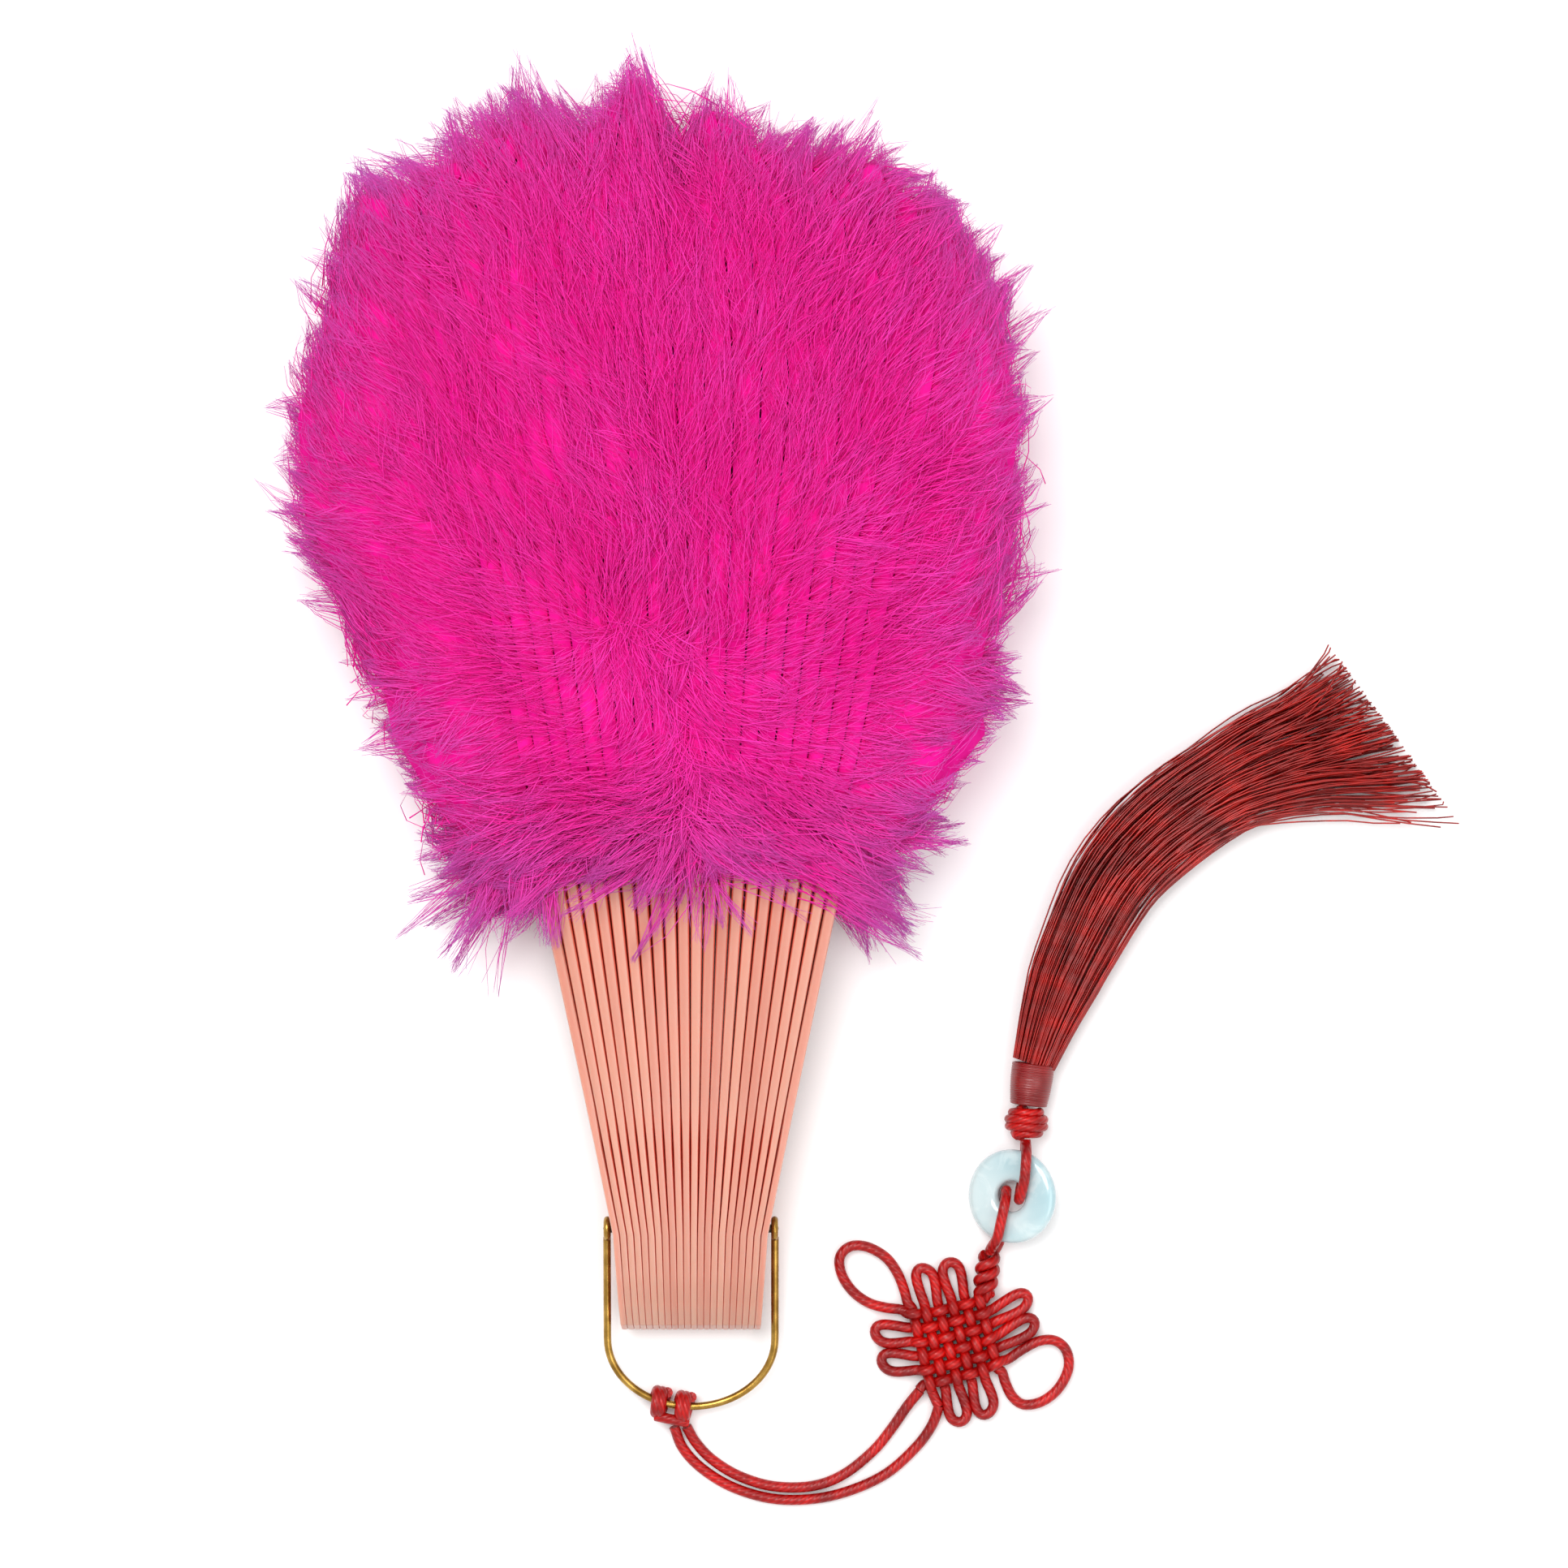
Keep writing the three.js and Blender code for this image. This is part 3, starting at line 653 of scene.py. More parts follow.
def cord_tree() -> NodeTree:
    """Builds the tree that lays a round cord along every path.

    Returns:
        The tree, with the radius, sides and material as inputs.
    """
    tree, sheet, given, leave = start_tree(
        "GeometryNodeTree", "cord_along_path",
        {"Geometry": ("NodeSocketGeometry", None), "Radius": ("NodeSocketFloat", 0.0011),
         "Sides": ("NodeSocketInt", 12), "Material": ("NodeSocketMaterial", None)},
        {"Geometry": "NodeSocketGeometry"},
    )
    curve = sheet.put("GeometryNodeMeshToCurve", {0: given["Geometry"]})
    length = sheet.put("GeometryNodeSplineParameter").outputs["Length"]
    marked = sheet.put("GeometryNodeStoreNamedAttribute", {"Geometry": curve.outputs[0], "Name": "run",
                                                           "Value": length}, data_type="FLOAT")
    ring = sheet.put("GeometryNodeCurvePrimitiveCircle", {"Resolution": given["Sides"], "Radius": 1.0})
    where = sheet.put("GeometryNodeInputPosition").outputs[0]
    turned = sheet.put("GeometryNodeStoreNamedAttribute", {"Geometry": ring.outputs[0], "Name": "lay",
                                                           "Value": where}, data_type="FLOAT_VECTOR")
    girth = sheet.put("GeometryNodeInputNamedAttribute", {"Name": "girth"}, data_type="FLOAT").outputs[0]
    scale = sheet.math("MULTIPLY", girth, given["Radius"])
    tube = sheet.put("GeometryNodeCurveToMesh", {
        "Curve": marked.outputs[0], "Profile Curve": turned.outputs[0], "Scale": scale, "Fill Caps": True})
    smooth = sheet.put("GeometryNodeSetShadeSmooth", {"Geometry": tube.outputs[0]})
    real = sheet.put("GeometryNodeRealizeInstances", {0: smooth.outputs[0]})
    done = sheet.put("GeometryNodeSetMaterial", {"Geometry": real.outputs[0], "Material": given["Material"]})
    tree.links.new(done.outputs[0], leave.inputs[0])
    return tree


def barb_tree() -> NodeTree:
    """Builds the tree that sets a tapered barb on every root point.

    Each root carries the way to the barb's tip, its bow and its girth.

    Returns:
        The tree, with the barb's sizes, the table's height and the material as inputs.
    """
    tree, sheet, given, leave = start_tree(
        "GeometryNodeTree", "barbs_on_roots",
        {"Geometry": ("NodeSocketGeometry", None), "Barb Radius": ("NodeSocketFloat", 0.00013),
         "Sides": ("NodeSocketInt", 3), "Segments": ("NodeSocketInt", 3),
         "Tip Share": ("NodeSocketFloat", 0.25), "Flatness": ("NodeSocketFloat", 0.35),
         "Table Height": ("NodeSocketFloat", 0.0003), "Material": ("NodeSocketMaterial", None)},
        {"Geometry": "NodeSocketGeometry"},
    )
    cone = sheet.put("GeometryNodeMeshCone", {
        "Vertices": given["Sides"], "Side Segments": given["Segments"], "Radius Top": given["Tip Share"],
        "Radius Bottom": 1.0, "Depth": 1.0}, fill_type="NGON")
    where = sheet.put("GeometryNodeInputPosition").outputs[0]
    shaped = sheet.put("GeometryNodeStoreNamedAttribute", {"Geometry": cone.outputs[0], "Name": "shape",
                                                           "Value": where}, data_type="FLOAT_VECTOR")
    many = sheet.put("GeometryNodeInstanceOnPoints", {"Points": given["Geometry"],
                                                      "Instance": shaped.outputs[0]})
    real = sheet.put("GeometryNodeRealizeInstances", {0: many.outputs[0]})

    def read(name: str, kind: str) -> NodeSocket:
        """Reads a named attribute in the tree."""
        return sheet.put("GeometryNodeInputNamedAttribute", {"Name": name}, data_type=kind).outputs[0]

    shape = read("shape", "FLOAT_VECTOR")
    reach = read("reach", "FLOAT_VECTOR")
    parts = sheet.put("ShaderNodeSeparateXYZ", {0: shape})
    along = parts.outputs[2]
    root = sheet.vector("SUBTRACT", sheet.put("GeometryNodeInputPosition").outputs[0], shape)
    arch = sheet.math("MULTIPLY", sheet.math("MULTIPLY", along, sheet.math("SUBTRACT", 1.0, along)), 4.0)
    line = sheet.vector("ADD", root, sheet.vector("SCALE", reach, along))
    line = sheet.vector("ADD", line, sheet.vector("SCALE", read("bow", "FLOAT_VECTOR"), arch))
    side = sheet.vector("NORMALIZE", sheet.vector("CROSS_PRODUCT", reach, (0.31, 0.17, 0.93)))
    rise = sheet.vector("NORMALIZE", sheet.vector("CROSS_PRODUCT", side, reach))
    thick = sheet.math("MULTIPLY", read("girth", "FLOAT"), given["Barb Radius"])
    thin = sheet.math("MULTIPLY", thick, given["Flatness"])
    across = sheet.vector("ADD", sheet.vector("SCALE", side, sheet.math("MULTIPLY", parts.outputs[0], thick)),
                          sheet.vector("SCALE", rise, sheet.math("MULTIPLY", parts.outputs[1], thin)))
    final = sheet.put("ShaderNodeSeparateXYZ", {0: sheet.vector("ADD", line, across)})
    lifted = sheet.math("MAXIMUM", final.outputs[2], given["Table Height"])
    placed = sheet.put("ShaderNodeCombineXYZ", {0: final.outputs[0], 1: final.outputs[1], 2: lifted})
    moved = sheet.put("GeometryNodeSetPosition", {"Geometry": real.outputs[0], "Position": placed.outputs[0]})
    marked = sheet.put("GeometryNodeStoreNamedAttribute", {"Geometry": moved.outputs[0], "Name": "along",
                                                           "Value": along}, data_type="FLOAT")
    smooth = sheet.put("GeometryNodeSetShadeSmooth", {"Geometry": marked.outputs[0]})
    done = sheet.put("GeometryNodeSetMaterial", {"Geometry": smooth.outputs[0],
                                                 "Material": given["Material"]})
    tree.links.new(done.outputs[0], leave.inputs[0])
    return tree


def grow(name: str, carrier: Mesh, tree: NodeTree, inputs: dict,
         drop: Sequence[str] = ()) -> Object:
    """Runs a geometry tree on a carrier mesh and keeps the result as a plain mesh.

    Args:
        name: Name of the new piece.
        carrier: Mesh of paths or root points.
        tree: The geometry tree.
        inputs: Values by input name.
        drop: Attributes that the finished mesh doesn't need.

    Returns:
        The new object, with no modifier left.
    """
    source = add_object(name + "_carrier", carrier)
    modifier = source.modifiers.new("grow", "NODES")
    modifier.node_group = tree
    for item in tree.interface.items_tree:
        if item.item_type == "SOCKET" and item.in_out == "INPUT" and item.name in inputs:
            modifier[item.identifier] = inputs[item.name]
    view = bpy.context.evaluated_depsgraph_get()
    mesh = bpy.data.meshes.new_from_object(source.evaluated_get(view), preserve_all_data_layers=True,
                                           depsgraph=view)
    source.modifiers.remove(modifier)
    bpy.data.objects.remove(source)
    bpy.data.meshes.remove(carrier)
    for label in drop:
        layer = mesh.attributes.get(label)
        if layer is not None:
            mesh.attributes.remove(layer)
    mesh.name = name
    return add_object(name, mesh)


class CordLayer:
    """Lays cords, wires and threads along paths."""

    tree: NodeTree | None = None

    @classmethod
    def lay(cls, name: str, runs: Sequence[Run], radius: float, sides: int, finish: Finish) -> Object:
        """Lays one round cord along each run.

        Args:
            name: Name of the new piece.
            runs: The paths.
            radius: Radius of the cord in metres.
            sides: Sides of its section.
            finish: Its finish.

        Returns:
            The new object.
        """
        if cls.tree is None:
            cls.tree = cord_tree()
        points, edges, girths = [], [], []
        for run in runs:
            first = len(points)
            points.extend(map(tuple, run.points))
            count = len(run.points)
            edges.extend((first + k, first + k + 1) for k in range(count - 1))
            if run.closed:
                edges.append((first + count - 1, first))
            girths.extend(np.ones(count) if run.girth is None else run.girth)
        mesh = bpy.data.meshes.new(name)
        mesh.from_pydata(points, edges, [])
        fill_attribute(mesh, "girth", np.array(girths))
        inputs = {"Radius": radius, "Sides": sides, "Material": Finishes.get(finish)}
        return grow(name, mesh, cls.tree, inputs, drop=("girth",))


def mesh_points(mesh: Mesh) -> np.ndarray:
    """Reads the places of a mesh's points.

    Args:
        mesh: The mesh.

    Returns:
        The places in metres, one row a point.
    """
    points = np.empty(len(mesh.vertices) * 3)
    mesh.vertices.foreach_get("co", points)
    return points.reshape(-1, 3)


def cad_points(node: str) -> np.ndarray:
    """Reads the triangles of a CAD node.

    Args:
        node: The CAD node.

    Returns:
        Their corners in metres, three rows a triangle.
    """
    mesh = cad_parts[node].data
    points = mesh_points(mesh)
    mesh.calc_loop_triangles()
    corners = np.empty(len(mesh.loop_triangles) * 3, dtype=np.int32)
    mesh.loop_triangles.foreach_get("vertices", corners)
    return points[corners]


@contextmanager
def edited(mesh: Mesh) -> Iterator[bmesh.types.BMesh]:
    """Opens a mesh for editing and writes it back at the end.

    Args:
        mesh: The mesh.

    Yields:
        The mesh as it can be edited.
    """
    shape = bmesh.new()
    shape.from_mesh(mesh)
    yield shape
    shape.to_mesh(mesh)
    shape.free()


def cad_copy(node: str, name: str, bevel: float = 0.0, smooth: float = 30.0) -> Object:
    """Copies a CAD node, merges it and softens its edges.

    Args:
        node: The CAD node.
        name: Name of the new piece.
        bevel: Width of the rounded edges in metres.
        smooth: Angle in degrees under which faces shade as one.

    Returns:
        The new object.
    """
    mesh = bpy.data.meshes.new(name)
    with edited(mesh) as shape:
        made = [shape.verts.new(point) for point in cad_points(node)]
        for k in range(0, len(made), 3):
            shape.faces.new(made[k:k + 3])
        bmesh.ops.remove_doubles(shape, verts=shape.verts, dist=MERGE_DISTANCE)
        bmesh.ops.dissolve_limit(shape, angle_limit=FLAT_ANGLE, verts=shape.verts, edges=shape.edges)
        if bevel:
            sharp = [e for e in shape.edges
                     if len(e.link_faces) == 2 and e.calc_face_angle(0) > SOFTENED_ANGLE]
            bmesh.ops.bevel(shape, geom=sharp, offset=bevel, segments=2, profile=0.6, affect="EDGES",
                            clamp_overlap=True)
    mesh.shade_smooth()
    mesh.set_sharp_from_angle(angle=math.radians(smooth))
    return add_object(name, mesh)


def fill_attribute(mesh: Mesh, name: str, values: np.ndarray) -> None:
    """Writes a number on every point of a mesh."""
    layer = mesh.attributes.new(name, "FLOAT", "POINT")
    layer.data.foreach_set("value", np.ascontiguousarray(values, dtype=np.float32))


def fill_vectors(mesh: Mesh, name: str, values: np.ndarray) -> None:
    """Writes a direction on every point of a mesh."""
    layer = mesh.attributes.new(name, "FLOAT_VECTOR", "POINT")
    layer.data.foreach_set("vector", np.ascontiguousarray(values, dtype=np.float32).ravel())


@dataclass(frozen=True)
class Lamp:
    """A round soft lamp that looks at the fan, in metres and watts."""

    name: str
    place: Place
    size: float
    power: float


@dataclass
class Studio:
    """Camera, lamps, floor and backdrop.

    Attributes:
        sharp_height: Height at which a photo pixel is PIXEL wide.
        sky: Strength of the sky as light on the fan.
        floor_size: Half the width of the table.
        floor_bounce: Tone of the table as light on the fan.
    """

    distance: float = 1.3
    sharp_height: float = 3 * MM
    centre: Pair = (26.5 * MM, -11.0 * MM)
    sensor: float = 36.0
    view_end: float = 20.0
    lamps: tuple[Lamp, ...] = (
        Lamp("soft_key", (-0.35, 0.5, 1.75), 1.1, 21.5),
        Lamp("soft_fill", (0.7, -0.4, 1.5), 1.3, 8.3),
    )
    sky: float = 0.68
    floor_size: float = 3.0
    floor_bounce: tuple[float, float, float, float] = (0.72, 0.72, 0.72, 1.0)

    def set_camera(self) -> None:
        """Looks straight down with a long lens, in the photograph's framing."""
        data = bpy.data.cameras.new("camera")
        data.sensor_width = self.sensor
        data.sensor_fit = "HORIZONTAL"
        data.lens = self.sensor * (self.distance - self.sharp_height) / (FRAME_PIXELS * PIXEL)
        data.clip_end = self.view_end
        camera = bpy.data.objects.new("camera", data)
        camera.location = (*self.centre, self.distance)
        bpy.context.scene.collection.objects.link(camera)
        bpy.context.scene.camera = camera
        log.info("camera lens %.1f mm at %.2f m", data.lens, self.distance)

    def set_lamps(self) -> None:
        """Adds the wide soft lamps and an even sky."""
        for lamp in self.lamps:
            data = bpy.data.lights.new(lamp.name, "AREA")
            data.shape = "DISK"
            data.size = lamp.size
            data.energy = lamp.power
            light = bpy.data.objects.new(lamp.name, data)
            light.location = lamp.place
            aim = Vector((*self.centre, 0.0)) - Vector(lamp.place)
            light.rotation_euler = aim.to_track_quat("-Z", "Y").to_euler()
            bpy.context.scene.collection.objects.link(light)
        world = bpy.data.worlds.new("plain_sky")
        world.use_nodes = True
        sheet = Sheet(world.node_tree)
        sky = world.node_tree.nodes["Background"]
        seen = self.seen_directly(sheet)
        strength = sheet.put("ShaderNodeMapRange", {0: seen, 3: self.sky, 4: 1.0})
        sky.inputs["Color"].default_value = WHITE
        sheet.tree.links.new(strength.outputs[0], sky.inputs["Strength"])
        bpy.context.scene.world = world

    @staticmethod
    def seen_directly(sheet: Sheet) -> NodeSocket:
        """Tells rays that are seen from those that only light the fan.

        Args:
            sheet: The sheet of a material or of the sky.

        Returns:
            1 for rays from the camera, and for mirrored and refracted ones.
        """
        path = sheet.put("ShaderNodeLightPath")
        seen = sheet.math("MAXIMUM", path.outputs["Is Camera Ray"], path.outputs["Is Glossy Ray"])
        return sheet.math("MAXIMUM", seen, path.outputs["Is Transmission Ray"])

    def set_floor(self) -> None:
        """Adds the pale table, which keeps the fan's shadow."""
        mesh = bpy.data.meshes.new("pale_table")
        with edited(mesh) as shape:
            bmesh.ops.create_grid(shape, x_segments=2, y_segments=2, size=self.floor_size)
        material = bpy.data.materials.new("pale_table")
        material.use_nodes = True
        sheet = Sheet(material.node_tree)
        shader = material.node_tree.nodes["Principled BSDF"]
        shader.inputs["Roughness"].default_value = 0.9
        shader.inputs["Specular IOR Level"].default_value = 0.0
        seen = self.seen_directly(sheet)
        tone = sheet.blend(seen, self.floor_bounce, WHITE)
        sheet.tree.links.new(tone, shader.inputs["Base Color"])
        mesh.materials.append(material)
        floor = add_object("pale_table", mesh)


def lay_loop(node: str, body: Body, places: Sequence[Place], radius: float) -> None:
    """Lays a loop of cord that starts and ends on the object, and says how long it is.

    Args:
        node: The CAD node that it stands for.
        body: The body that it moves with.
        places: Places along it from the rivet, in millimetres.
        radius: Radius of the cord.
    """
    points = smooth_path(np.array([table_point(*p) for p in places]), LOOP_STEP)
    piece = CordLayer.lay(node + "_satin", [Run(points)], radius, CORD_SIDES, Finishes.cord)
    place_piece(piece, body.value, [node])
    log.info("%s is %.1f mm long", piece.name, path_length(points) / MM)


def helix(origin: np.ndarray, axis: np.ndarray, radii: Sequence[float], spans: Sequence[float],
          turns: float, start: float = 0.0, steps: int = 22) -> np.ndarray:
    """Winds a helix round an axis.

    Args:
        origin: Point on the axis.
        axis: Unit direction of the axis.
        radii: Radius at evenly spaced places along the winding.
        spans: First and last place along the axis.
        turns: Number of turns.
        start: Angle of the first point.
        steps: Points a turn.

    Returns:
        The points of the helix.
    """
    up = np.array((0.0, 0.0, 1.0))
    side = np.cross(up, axis)
    side /= np.linalg.norm(side)
    rise = np.cross(axis, side)
    share = np.linspace(0, 1, max(int(steps * turns), 8))
    angle = start + 2 * math.pi * turns * share
    radius = np.interp(share, np.linspace(0, 1, len(radii)), radii)
    place = spans[0] + (spans[1] - spans[0]) * share
    return (origin + np.outer(place, axis) + (radius * np.cos(angle))[:, None] * side
            + (radius * np.sin(angle))[:, None] * rise)


@dataclass
class PendantCord:
    """The red cord from the bail to the stone ring: hitch, two strands, woven knot, binding and loop.

    Lengths written with MM are in metres. The others are in millimetres, from the rivet or from the middle
    of the knot.

    Attributes:
        hitch_winding: Distance of the wound cord from the wire's middle.
        hitch_centres: Middles of the two windings along the wire.
        bridge_side: How far the bridge between the windings stands to the side.
        bridge: Its places along the wire and in height, in millimetres.
        middle_row: Number of the weave's middle, between its third and its fourth cord.
        weave_past: Shares of the pitch by which a cord goes on past its outer crossings.
        weave_steps: Places of a cord in one pitch.
        ear_bend: How far the ears at both sides bend up the table, as a share of their reach.
        narrow_ear_line: A narrow ear's reach and its place between its two cords.
        corner_ear_line: A large ear's reach from its corner and its place beside the diagonal.
        corner_place: Distance of the ear's corner from the middle, in pitches.
        upper_ear: Turn, length share and width share of the upper ear, as with the lower one.
        upper_ends: First place and last places of the upper open run, as with the lower one.
    """

    radius: float = CORD_RADIUS
    sides: int = CORD_SIDES
    knot_sides: int = 12
    strand_step: float = 0.8 * MM
    knot_step: float = 0.5 * MM
    hitch_place: Place = (3.0 * MM, -140.92 * MM, 3.6 * MM)
    hitch_axis: Place = (0.98064, -0.19583, 0.0)
    hitch_winding: float = 2.35 * MM
    hitch_centres: Pair = (-2.55 * MM, 2.55 * MM)
    hitch_half: float = 1.2 * MM
    hitch_turns: float = 2.2
    hitch_start: float = -1.2
    bridge_side: float = -3.0 * MM
    bridge: tuple = ((-3.4, 0.4), (-1.6, 1.0), (0.0, 1.3), (1.6, 1.0), (3.4, 0.4))
    knot_place: Pair = (55.2, -24.3)
    knot_turn: float = math.radians(14)
    knot_pitch: float = 2.87
    knot_middle: float = 2.42
    knot_rise: float = 1.14
    middle_row: float = 2.5
    weave_past: Pair = (0.45, 0.46)
    weave_steps: int = 6
    ear_bend: float = 0.28
    bend_start: float = 6.0
    narrow_ear_line: tuple = (
        (9.5, -1.0), (11.6, -1.2), (13.8, -1.32), (15.3, -1.15), (16.2, -0.65), (16.5, 0.0), (16.2, 0.65),
        (15.3, 1.15), (13.8, 1.32), (11.6, 1.2), (9.5, 1.0))
    narrow_drop: float = 0.1
    corner_ear_line: tuple = (
        (0.4, 1.5), (2.6, 3.9), (5.4, 6.1), (8.6, 6.7), (11.6, 5.4), (13.6, 2.6), (13.9, -0.6), (12.9, -3.6),
        (10.6, -5.9), (7.4, -6.8), (4.4, -5.6), (1.8, -3.2), (0.2, -1.3))
    corner_place: float = 2.95
    corner_drop: float = 0.4
    upper_ear: Place = (math.radians(0), 1.1, 0.84)
    lower_ear: Place = (math.radians(6), 1.02, 0.98)
    upper_ends: tuple = ((9.6, 8.9, 2.6), (-6.9, -10.4, 2.2), (-6.5, -12.4, 2.4))
    lower_ends: tuple = ((8.4, 10.2, 2.6), (-9.8, -8.3, 2.4))
    binding_start: Place = (61.3, -14.1, 2.85)
    binding_turn: float = math.radians(8)
    binding_length: float = 8.2
    binding_radii: tuple = (1.2 * MM, 1.6 * MM, 1.6 * MM, 1.2 * MM)
    binding_turns: float = 1.6
    strand_one: tuple = (
        (-1.0, -42.0, 2.4), (0.9, -45.4, 1.5), (4.3, -49.0, 1.25), (9.8, -52.4, 1.25), (17.0, -54.6, 1.25),
        (25.2, -54.6, 1.25), (31.8, -52.2, 1.25), (38.0, -47.3, 1.25), (41.9, -42.6, 1.3), (45.2, -37.8, 1.8),
        (47.9, -34.4, 2.4))
    strand_two: tuple = (
        (-3.6, -42.0, 2.4), (-1.8, -46.6, 1.5), (2.2, -50.9, 1.25), (8.6, -54.8, 1.25), (16.8, -57.2, 1.25),
        (25.2, -57.3, 1.25), (33.0, -55.6, 1.25), (40.8, -52.0, 1.25), (47.0, -46.5, 1.3), (50.4, -41.8, 1.8),
        (51.9, -37.6, 2.4))
    ring_loop: tuple = (
        (62.4, -5.45, 3.9), (62.55, -4.8, 4.3), (63.0, -3.8, 5.8), (63.9, -2.1, 7.8), (64.7, 1.5, 8.3),
        (65.5, 5.3, 8.2), (65.9, 7.7, 5.1), (65.6, 5.4, 2.1), (65.4, 2.0, 1.5), (64.9, -2.2, 1.25),
        (64.1, -4.3, 1.3), (63.3, -5.5, 1.5))

    def lay(self, name: str, runs: Sequence[Run], node: str, sides: int) -> Object:
        """Lays a piece of the cord and hands it to the frame.

        Args:
            name: Name of the new piece.
            runs: Its paths.
            node: The CAD node that it stands for.
            sides: Sides of its section.

        Returns:
            The piece.
        """
        piece = CordLayer.lay(name, runs, self.radius, sides, Finishes.cord)
        return place_piece(piece, Body.PENDANT.value, [node])

    def build_strands(self) -> list[tuple[Object, np.ndarray]]:
        """Lays the two free strands between the hitch and the knot.

        Returns:
            The two cords, each with its middle line.
        """
        cords = []
        for name, route in (("cord_strand_one", self.strand_one), ("cord_strand_two", self.strand_two)):
            points = smooth_path(np.array([table_point(*p) for p in route]), self.strand_step)
            cords.append((self.lay(name + "_satin", [Run(points)], name, self.sides), points))
        return cords

    def declare_strands(self, cords: list) -> None:
        """Says how long the free strands are.

        Args:
            cords: The two cords, each with its middle line.
        """
        for number, (cord, points) in enumerate(cords):
            log.info("%s is %.1f mm long", cord.name, path_length(points) / MM)

    def build_hitch(self) -> None:
        """Winds the cord twice round the bail's wire on each side of the strands."""
        origin = np.array(self.hitch_place)
        axis = np.array(self.hitch_axis)
        runs = []
        for middle in self.hitch_centres:
            spans = (middle - self.hitch_half, middle + self.hitch_half)
            runs.append(Run(helix(origin, axis, [self.hitch_winding], spans, self.hitch_turns,
                                  start=self.hitch_start)))
        bridge = [origin + axis * s * MM + np.array((0.0, self.bridge_side, z * MM)) for s, z in self.bridge]
        runs.append(Run(smooth_path(np.array(bridge), LOOP_STEP)))
        self.lay("hitch_wraps", runs, "cord_hitch", self.sides)

    def knot_point(self, x: float, y: float, z: float) -> np.ndarray:
        """Turns a place in the knot's own square into the frame, with the ears at both sides bent up.

        Args:
            x: Place along the square's first side.
            y: Place along its second side.
            z: Height over the table.

        Returns:
            The place in metres.
        """
        cos, sin = math.cos(self.knot_turn), math.sin(self.knot_turn)
        side = x * cos - y * sin
        bend = self.ear_bend * max(abs(side) - self.bend_start, 0)
        return table_point(self.knot_place[0] + side, self.knot_place[1] + x * sin + y * cos + bend, z)

    def level(self, row: int) -> float:
        """Place of a cord's row from the knot's middle."""
        return (row - self.middle_row) * self.knot_pitch

    def lattice(self, row: int, upright: bool) -> list[Place]:
        """Runs one cord over and under its neighbours.

        Args:
            row: Place of the cord, 0 to 5.
            upright: True for a cord that runs along the square's second side.

        Returns:
            Places in the knot's own square from its low end to its high end.
        """
        pitch = self.knot_pitch
        level = self.level(row)
        sign = (1 if row % 2 else -1) * (-1 if upright else 1)
        half = self.middle_row * pitch
        before, after = self.weave_past
        places = []
        for s in np.arange(-half - before * pitch, half + after * pitch, pitch / self.weave_steps):
            z = self.knot_middle + self.knot_rise * (sign * math.cos(math.pi * (s + half) / pitch))
            places.append((level, s, z) if upright else (s, level, z))
        return places

    def narrow_ear(self, low: float, high: float, side: int, upright: bool) -> list[Place]:
        """Turns a cord back beside itself in a narrow ear.

        Args:
            low: Level of the cord that comes in.
            high: Level of the cord that goes back.
            side: 1 or -1, the end of the square.
            upright: True for the ears of upright cords.

        Returns:
            Places along the ear.
        """
        middle, half = (low + high) / 2, (high - low) / 2
        places = []
        for out, across in self.narrow_ear_line:
            level = middle + half * across
            place = (level, side * out) if upright else (side * out, level)
            places.append((*place, self.knot_middle - self.narrow_drop))
        return places

    def corner_ear(self, sign: int) -> list[Place]:
        """Turns the outer cords round a large drop-shaped ear.

        Args:
            sign: 1 for the upper left corner, -1 for the lower right one.

        Returns:
            Places from the level cord's end to the upright cord's end.
        """
        corner = self.corner_place * self.knot_pitch
        turn, long, wide = self.upper_ear if sign > 0 else self.lower_ear
        places = []
        for far, beside in self.corner_ear_line:
            out = far * long * math.cos(turn) + sign * beside * wide * math.sin(turn)
            across = beside * wide * math.cos(turn) - sign * far * long * math.sin(turn)
            x = -corner - (out + across) * math.sqrt(0.5)
            y = corner + (out - across) * math.sqrt(0.5)
            places.append((sign * x, sign * y, self.knot_middle - self.corner_drop))
        return places

    def build_knot(self) -> Object:
        """Weaves the knot from two open runs and four closed ones.

        Returns:
            The knot.
        """
        runs = []
        for upright in (False, True):
            for row in (1, 3):
                low, high = self.level(row), self.level(row + 1)
                route = [*self.lattice(row, upright), *self.narrow_ear(low, high, 1, upright),
                         *reversed(self.lattice(row + 1, upright)),
                         *reversed(self.narrow_ear(low, high, -1, upright))]
                points = np.array([self.knot_point(*p) for p in route])
                runs.append(Run(smooth_path(points, self.knot_step, closed=True), closed=True))
        upper = [self.upper_ends[0], *reversed(self.lattice(5, False)), *self.corner_ear(1),
                 *reversed(self.lattice(0, True)), *self.upper_ends[1:]]
        lower = [self.lower_ends[0], *reversed(self.lattice(5, True)), *self.corner_ear(-1)[::-1],
                 *reversed(self.lattice(0, False)), *self.lower_ends[1:]]
        for route in (upper, lower):
            points = np.array([self.knot_point(*p) for p in route])
            runs.append(Run(smooth_path(points, self.knot_step)))
        return self.lay("woven_knot", runs, "knot", self.knot_sides)

    def build_binding(self) -> None:
        """Twists the two cord ends round each other above the knot."""
        axis = np.array((math.sin(self.binding_turn), math.cos(self.binding_turn), 0.0))
        origin = table_point(*self.binding_start)
        spans = (0.0, self.binding_length * MM)
        runs = [Run(helix(origin, axis, self.binding_radii, spans, self.binding_turns, start=turn))
                for turn in (0.0, math.pi)]
        self.lay("twisted_binding", runs, "binding_knot", self.sides)

